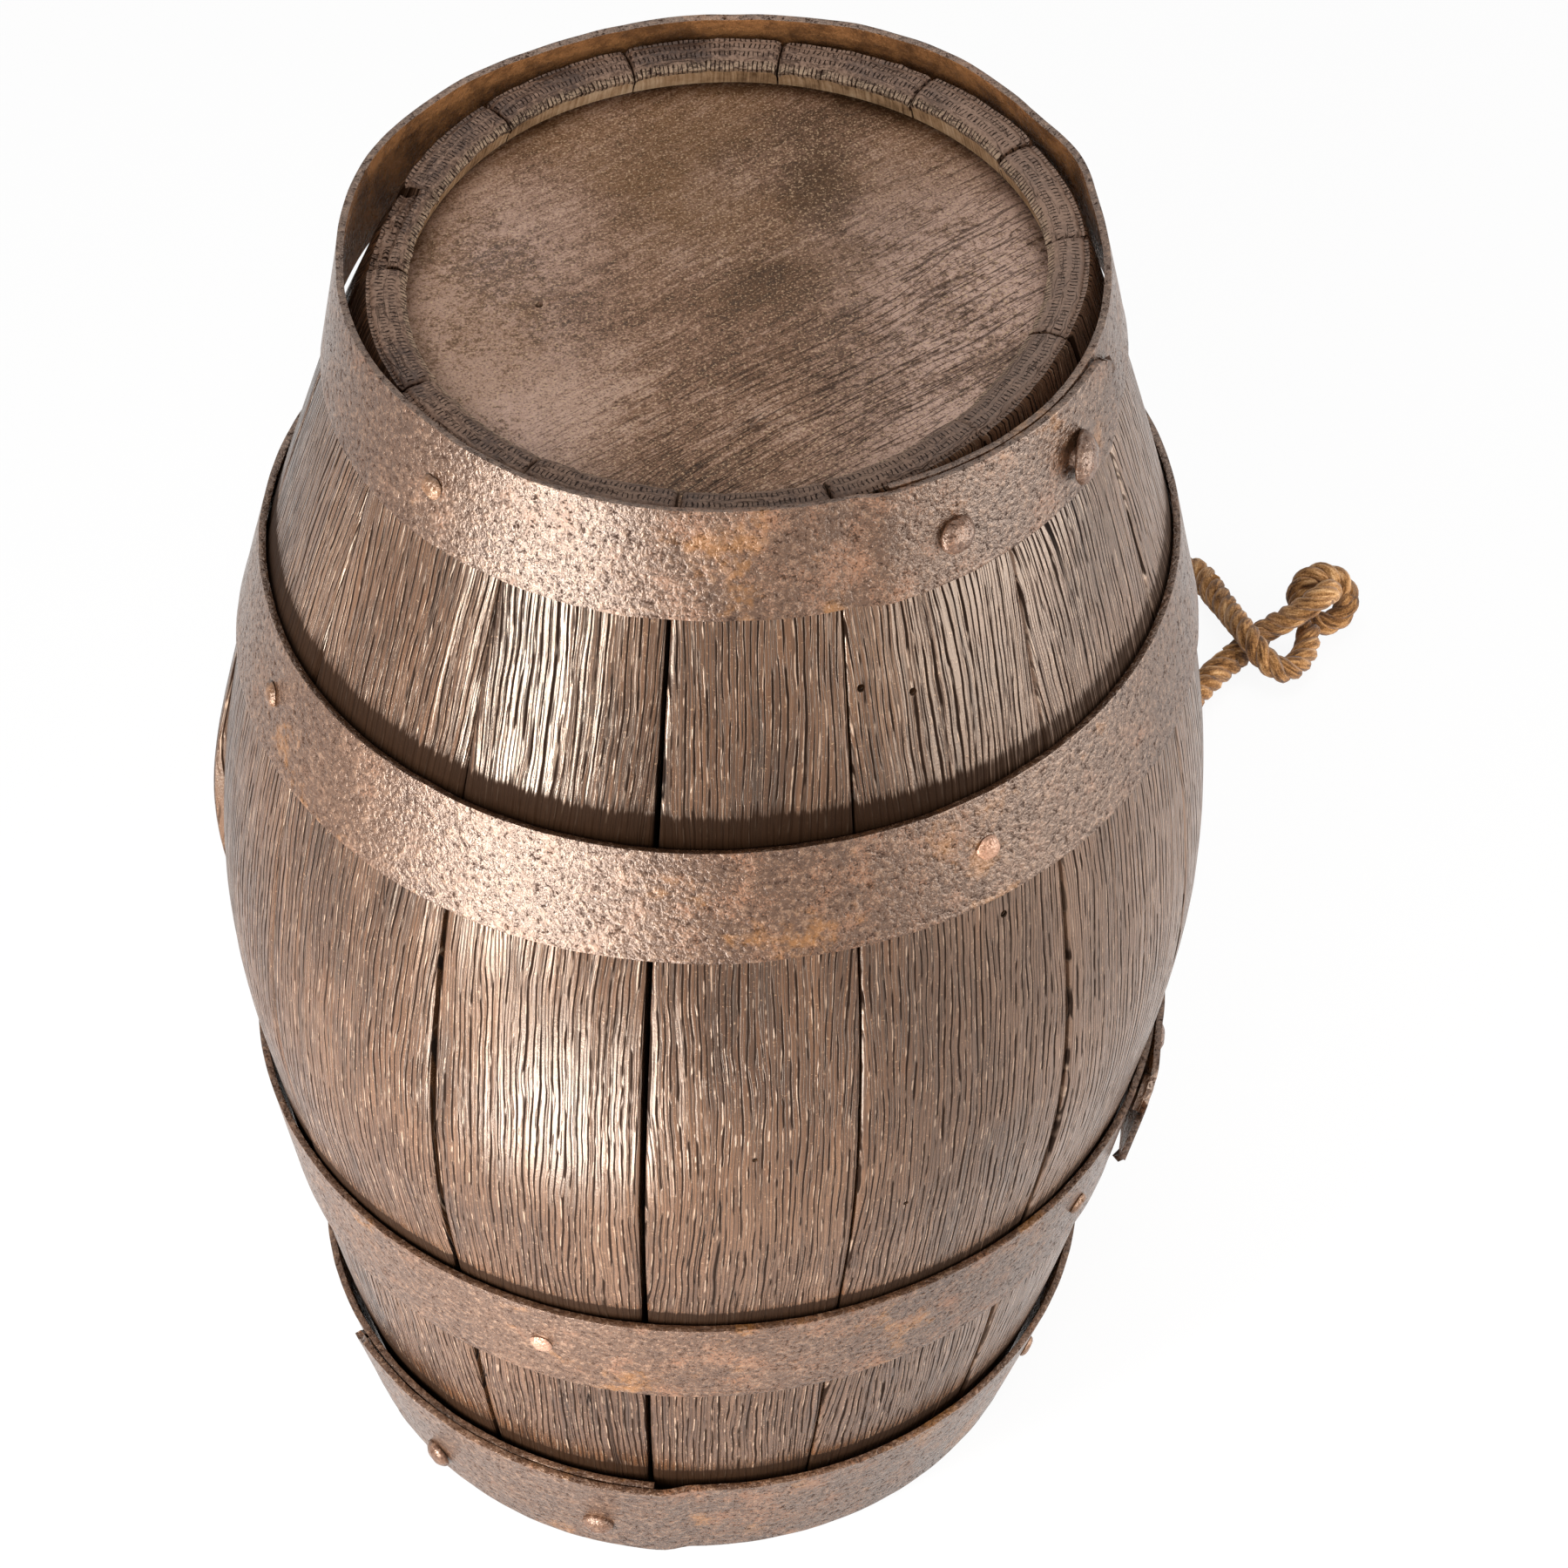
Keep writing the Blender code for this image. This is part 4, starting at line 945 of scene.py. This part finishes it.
    # Specular tint taken down to near black in the grooves, checks and grime-and-shadow band: painted shade
    # that hides the reflection in these hollows
    shut = s.most(s.most(groove, check), s.times(soil_and_shadow, 0.95))
    rough = s.most(s.band(streak, 0.35, 0.65, 0.30, 0.20), s.times(shut, 0.95))
    return s.finish(colour, rough, relief, 0.0006, 0.8, s.mix(shut, (1.0, 0.84, 0.70), (0.02, 0.015, 0.012)))


def end_grain():
    """The staves' ends: dull, with rows of short stitched radial cracks and a pale worn inner edge; painted
    light makes them paler towards +X and painted shade darker at the front, in the hoop's shadow.
    """
    s = Surface("end_grain_oak")
    uv, place = s.uv("ring"), s.place()
    across, inward, _ = s.parts(uv)
    bent = s.times(s.minus(s.drawn(uv, (260, 200), 3, 0.6), 0.5), 0.0026)
    across = s.plus(across, bent)
    inward = s.plus(inward, s.times(bent, 0.5))
    stitch = s.sine(s.times(across, 2 * math.pi / STITCH_STEP))
    rows = s.sine(s.times(inward, 2 * math.pi / RING_STEP))
    weight = s.drawn(uv, (300, 350), 2, 0.6, (5, 1, 0))
    crack = s.band(s.plus(stitch, s.times(weight, 1.1)), 1.15, 1.50)
    crack = s.times(crack, s.band(rows, -0.45, 0.15))
    rings = s.drawn(s.vector(across, inward), (50, 620), 1)
    crack = s.most(crack, s.times(s.hairline(rings, 0.016), 0.55))
    patch = s.noise(place, 42, 4, 0.6)
    fine = s.noise(place, 1000, 2, 0.6)
    colour = s.ramp(s.total((patch, 0.55), (fine, 0.45)), (0.40, (0.036, 0.016, 0.009)),
                    (0.49, (0.100, 0.054, 0.034)), (0.57, (0.230, 0.142, 0.098)))
    x, y, _ = s.parts(place)
    inner = s.band(inward, 0.0085, 0.0105, 0.0, 0.7)
    colour = s.painted(
        # painted light: paler towards +X
        colour, (s.band(x, 0.030, 0.100, 0, 0.45), (0.300, 0.196, 0.144)),
        # painted shade: darker at the front, in the hoop's shadow
        (s.band(y, -0.055, -0.095, 0, 0.40), (0.030, 0.014, 0.008)),
        (s.times(inner, s.band(fine, 0.35, 0.55)), (0.42, 0.30, 0.20)),
        (s.times(crack, 0.92), (0.010, 0.004, 0.002)))
    relief = s.total((fine, 0.22), (crack, -0.8))
    return s.finish(colour, s.band(patch, 0.4, 0.6, 0.50, 0.64), relief, 0.0007, 0.4,
                    s.mix(crack, (1.0, 0.88, 0.80), (0.05, 0.04, 0.03)))


def inner_wood():
    """The staves' inner faces: dry pale wood under ochre dust."""
    s = Surface("dusty_inner_oak")
    uv, place = s.uv("grain"), s.place()
    fibre = s.drawn(uv, (900, 40), 3, 0.6)
    dust = s.noise(place, 160, 4, 0.7)
    patch = s.noise(place, 30, 3)
    tone = s.total((fibre, 0.4), (dust, 0.35), (patch, 0.25))
    colour = s.ramp(tone, (0.38, (0.110, 0.058, 0.028)), (0.50, (0.400, 0.250, 0.135)),
                    (0.62, (0.620, 0.450, 0.290)))
    return s.finish(colour, 0.85, tone, 0.0007, 0.2)


def head_wood():
    """The head: brown and gritty with ochre dust, cracked along the fine grain that runs up to the right,
    with a painted sheen on its left and right front parts and darker along the rim.
    """
    s = Surface("head_oak")
    place = s.place()
    turned_place = s.scaled(place, turn=-37)
    wander = s.drawn(turned_place, (10, 14), 3)
    along, across, _ = s.parts(turned_place)
    lined = s.vector(along, s.shifted(across, wander, 0.014))
    fibre = s.drawn(lined, (130, 2000), 3, 0.6)
    ridges = s.drawn(lined, (16, 480), 2)
    lines = s.drawn(lined, (55, 1300), 2, 0.6, (2, 3, 0))
    split = s.drawn(lined, (22, 330), 1, move=(7, 3, 0))
    x, y, _ = s.parts(place)
    worn = s.band(s.minus(x, s.times(y, 0.9)), -0.03, 0.08)
    shown = s.most(worn, s.times(s.band(y, 0.03, 0.075), 0.25))
    cracks = s.times(s.band(lines, 0.590, 0.645), s.times(shown, 0.80))
    split = s.times(s.hairline(split, 0.018), s.band(worn, 0.55, 0.95))
    cracks = s.most(cracks, s.times(split, 0.70))
    patch = s.noise(place, 17, 6, 0.66)
    grit = s.noise(place, 1500, 2, 0.7)
    crumbs = s.noise(s.scaled(place, move=(0.1, 0.3, 0)), 620, 4, 0.8)
    tone = s.total((patch, 0.32), (ridges, 0.14), (fibre, 0.16), (grit, 0.14), (crumbs, 0.24))
    colour = s.ramp(tone, (0.41, (0.020, 0.007, 0.003)), (0.46, (0.085, 0.037, 0.016)),
                    (0.51, (0.200, 0.100, 0.056)), (0.57, (0.430, 0.272, 0.195)))
    # painted sheen: the left and right front parts are painted a paler mauve, as the light's sheen
    sides = s.times(s.band(s.off(x, 0.005), 0.015, 0.065), s.band(y, 0.060, 0.0))
    pale = s.times(sides, s.band(s.total((patch, 0.5), (crumbs, 0.5)), 0.43, 0.52, 0.20, 0.90))
    stain = s.times(s.band(s.away(place, (0.027, 0.040, KEG_HEIGHT)), 0.062, 0.015),
                    s.band(patch, 0.40, 0.52, 0.70, 0.25))
    ochre = s.band(s.noise(s.scaled(place, move=(0.4, 0.2, 0)), 13, 5, 0.65), 0.44, 0.62, 0, 0.45)
    ochre = s.times(ochre, s.minus(1.0, s.times(worn, 0.85)))
    dark = s.times(s.band(crumbs, 0.46, 0.35), s.band(patch, 0.56, 0.40, 0.20, 0.48))
    # darker_by_rim: the head is darker in a ring along the rim, next to the chime
    darker_by_rim = s.times(s.band(s.away(place, (RACK * KEG_HEIGHT, 0, KEG_HEIGHT)), 0.074, 0.0865),
                   s.band(patch, 0.35, 0.60, 0.95, 0.45))
    colour = s.painted(
        colour, (pale, (0.560, 0.378, 0.305)), (stain, (0.050, 0.024, 0.010)), (ochre, (0.170, 0.078, 0.024)),
        (s.band(grit, 0.560, 0.66, 0, 0.80), (0.52, 0.36, 0.22)),
        (s.band(grit, 0.45, 0.36, 0, 0.60), (0.026, 0.012, 0.006)), (dark, (0.022, 0.010, 0.005)),
        (s.times(darker_by_rim, 0.8), (0.035, 0.016, 0.006)), (s.times(cracks, 0.9), (0.014, 0.006, 0.003)))
    relief = s.total((ridges, 0.45), (fibre, 0.15), (crumbs, 0.55), (grit, 0.18), (cracks, -0.6))
    shut = s.most(cracks, s.times(s.most(darker_by_rim, stain), 0.8))
    return s.finish(colour, s.band(tone, 0.44, 0.58, 0.58, 0.40), relief, 0.0006, 0.4,
                    s.mix(shut, (1.0, 0.80, 0.66), (0.05, 0.03, 0.02)))


def hoop_iron(name="rusted_hoop_iron", polish=0.0, pale=0.0, rusty=0.0):
    """Old strap iron: a gritty hammered skin, brown to mauve, with fine rust bloom and bright specks painted
    as glints.
    """
    s = Surface(name)
    place = s.place()
    broad = s.noise(place, 12, 3, 0.6)
    blotch = s.noise(place, 85, 5, 0.72)
    grit = s.noise(place, 1900, 3, 0.7)
    hammer = s.noise(place, 620, 3, 0.55, 0.3)
    front = s.times(s.band(s.off(s.parts(place)[0], 0.03), 0.10, 0.02), 0.05)
    tone = s.total((broad, 0.24), (blotch, 0.32), (hammer, 0.22), (grit, 0.22))
    colour = s.ramp(tone, (0.39, (0.040, 0.017, 0.009)), (0.46, (0.058, 0.026, 0.013)),
                    (0.52, (0.070, 0.032, 0.016)), (0.61, (0.112, 0.060, 0.036)))
    bloom = s.band(s.plus(s.total((blotch, 0.55), (grit, 0.45)), front), 0.555, 0.66, 0, 0.55)
    ochre = s.noise(s.scaled(place, move=(0.3, 0.7, 0.2)), 34, 5, 0.7)
    ochre = s.band(s.plus(ochre, front), 0.61, 0.71, 0, 0.60)
    pits = s.band(s.total((grit, 0.5), (hammer, 0.5)), 0.47, 0.39)
    # painted glints: pale specks on the hammered tops
    glint = s.band(s.total((grit, 0.35), (hammer, 0.65)), 0.53, 0.60)
    colour = s.painted(colour, (bloom, (0.190, 0.068, 0.022)), (ochre, (0.230, 0.092, 0.018)),
                       (s.times(pits, 0.60), (0.012, 0.005, 0.003)),
                       (s.times(glint, 0.30), (0.29, 0.175, 0.11)))
    if pale:
        colour = s.mix(s.band(grit, 0.35, 0.60, 0.5 * pale, pale), colour, (0.46, 0.25, 0.17))
    # rust; laid on bright at full strength, as on the strap's inner face, where it also paints the light
    # falling there
    if rusty:
        colour = s.mix(s.band(blotch, 0.38, 0.60, 0.35 * rusty, rusty), colour, (0.480, 0.215, 0.080))
    rough = s.plus(s.band(blotch, 0.35, 0.65, 0.20 - polish * 0.5, 0.30 - polish), s.times(bloom, 0.15))
    rough = s.most(rough, s.times(pits, 0.8))
    return s.finish(colour, rough, s.total((hammer, 0.80), (grit, 0.16)), 0.0007, 1.0,
                    s.mix(s.times(pits, 0.9), (1.0, 0.85, 0.74), (0.04, 0.03, 0.02)),
                    metallic=s.band(bloom, 0.0, 0.5, 0.15, 0.05))


def bung_wood():
    """A turned plug: rings on its end, grain along its side."""
    s = Surface("bung_oak")
    place = s.place()
    x, y, z = s.parts(place)
    rings = s.noise(s.vector(s.times(x, 420), s.times(y, 30), s.times(z, 60)), 1, 3)
    tone = s.total((rings, 0.6), (s.noise(place, 700, 3, 0.6), 0.4))
    colour = s.ramp(tone, (0.36, (0.075, 0.045, 0.028)), (0.50, (0.190, 0.120, 0.078)),
                    (0.66, (0.330, 0.225, 0.155)))
    return s.finish(colour, s.band(tone, 0.3, 0.7, 0.75, 0.5), tone, 0.0005, 0.4)


def rope_hemp():
    """Old hemp: yarns along each strand, ochre and tan with darker patches."""
    s = Surface("old_hemp_rope")
    uv, place = s.uv("lay"), s.place()
    yarn = s.drawn(uv, (260, 900), 3, 0.6, turn=24)
    patch = s.noise(place, 60, 3)
    fine = s.noise(place, 1800, 2, 0.7)
    tone = s.total((yarn, 0.5), (patch, 0.25), (fine, 0.25))
    colour = s.ramp(tone, (0.38, (0.036, 0.013, 0.004)), (0.46, (0.170, 0.072, 0.019)),
                    (0.54, (0.410, 0.206, 0.074)), (0.64, (0.720, 0.460, 0.235)))
    s.shader.inputs["Sheen Weight"].default_value = 0.3
    return s.finish(colour, 0.92, s.plus(yarn, s.times(fine, 0.4)), 0.0006, 0.2)


# Stage, camera and light

def seen_white(tree):
    """One for the rays that should meet plain white: the camera's, and those through a gloss or a glass."""
    path = tree.nodes.new("ShaderNodeLightPath")
    first, second = (tree.nodes.new("ShaderNodeMath") for _ in range(2))
    first.operation = second.operation = "MAXIMUM"
    tree.links.new(path.outputs["Is Camera Ray"], first.inputs[0])
    tree.links.new(path.outputs["Is Glossy Ray"], first.inputs[1])
    tree.links.new(first.outputs[0], second.inputs[0])
    tree.links.new(path.outputs["Is Transmission Ray"], second.inputs[1])
    return second.outputs[0]


def floor():
    """A pale floor that keeps the keg's shadow."""
    bm = bmesh.new()
    bmesh.ops.create_grid(bm, x_segments=1, y_segments=1, size=12)
    obj = mesh_object("floor", bm)
    obj.location.z = FLOOR_LEVEL
    material = bpy.data.materials.new("pale_floor")
    material.use_nodes = True
    tree = material.node_tree
    tree.nodes.remove(tree.nodes["Principled BSDF"])
    diffuse = tree.nodes.new("ShaderNodeBsdfDiffuse")
    diffuse.inputs["Color"].default_value = (0.9, 0.9, 0.9, 1)
    glow = tree.nodes.new("ShaderNodeEmission")
    glow.inputs["Color"].default_value = (1, 1, 1, 1)
    glow.inputs["Strength"].default_value = 1.0
    share = tree.nodes.new("ShaderNodeMath")
    share.operation = "MULTIPLY"
    share.inputs[1].default_value = FLOOR_GLOW
    tree.links.new(seen_white(tree), share.inputs[0])
    mixed = tree.nodes.new("ShaderNodeMixShader")
    for source, socket in zip((share, diffuse, glow), mixed.inputs):
        tree.links.new(source.outputs[0], socket)
    tree.links.new(mixed.outputs[0], tree.nodes["Material Output"].inputs["Surface"])
    obj.data.materials.append(material)


def world():
    """White surroundings, which light the keg less than they show."""
    scene_world = bpy.data.worlds.new("studio")
    bpy.context.scene.world = scene_world
    scene_world.use_nodes = True
    tree = scene_world.node_tree
    background = tree.nodes["Background"]
    background.inputs["Color"].default_value = (1, 1, 1, 1)
    level = tree.nodes.new("ShaderNodeMath")
    level.operation = "MULTIPLY_ADD"
    tree.links.new(seen_white(tree), level.inputs[0])
    level.inputs[1].default_value = 1 - AMBIENT
    level.inputs[2].default_value = AMBIENT
    tree.links.new(level.outputs[0], background.inputs["Strength"])


def lamp(name, place, target, size, energy, colour):
    data = bpy.data.lights.new(name, "AREA")
    data.shape = "RECTANGLE"
    data.size, data.size_y = size
    data.energy = energy
    data.color = colour
    obj = add_object(name, data)
    obj.location = place
    obj.rotation_euler = (Vector(target) - Vector(place)).to_track_quat("-Z", "Y").to_euler()
    obj.visible_camera = False


def camera():
    """The photograph's camera, fitted to the keg's outline in it."""
    data = bpy.data.cameras.new("camera")
    data.sensor_width = 36
    data.lens = 121.732
    data.shift_x, data.shift_y = -0.00643, -0.00278
    data.clip_start = 0.05
    right = Vector((0.9989627, -0.0444680, -0.0098067))
    up = Vector((0.0388296, 0.7193430, 0.6935690))
    obj = add_object("camera", data)
    obj.matrix_world = Matrix.Translation(Vector((-0.00391, -1.02621, 1.28679)) - SHIFT) @ Matrix(
        (right, up, right.cross(up))).transposed().to_4x4()
    bpy.context.scene.camera = obj


camera()
floor()
world()
for row in LAMPS:
    lamp(*row)

stave_materials = [stave_wood(), end_grain(), inner_wood()]
for stave_index in range(len(JOINT_AZIMUTHS)):
    make_stave(stave_index, stave_materials)
board = head_wood()
make_head("head_top", [board], False)
make_head("head_bottom", [board], True)
iron = hoop_iron()
# the strap's inner face: rust laid on bright, which also paints the light falling there
rust_and_light_inner_iron = hoop_iron("rusty_and_painted_light_inner_iron", rusty=0.95)
rivet_iron = hoop_iron("rivet_iron", polish=0.08, pale=0.12)
nail_iron = hoop_iron("nail_iron", polish=0.08, pale=0.65)
rusty_nail = hoop_iron("rusty_nail_iron", polish=0.05, rusty=0.22)
for hoop_name in HOOPS:
    make_hoop(hoop_name, [iron, rust_and_light_inner_iron])
    make_pins(hoop_name, rivet_iron, rusty_nail, nail_iron)
make_bung([bung_wood()])
make_staple(*make_rope([rope_hemp()]), [iron])

bpy.context.scene.view_settings.view_transform = "Standard"
bpy.context.view_layer.update()
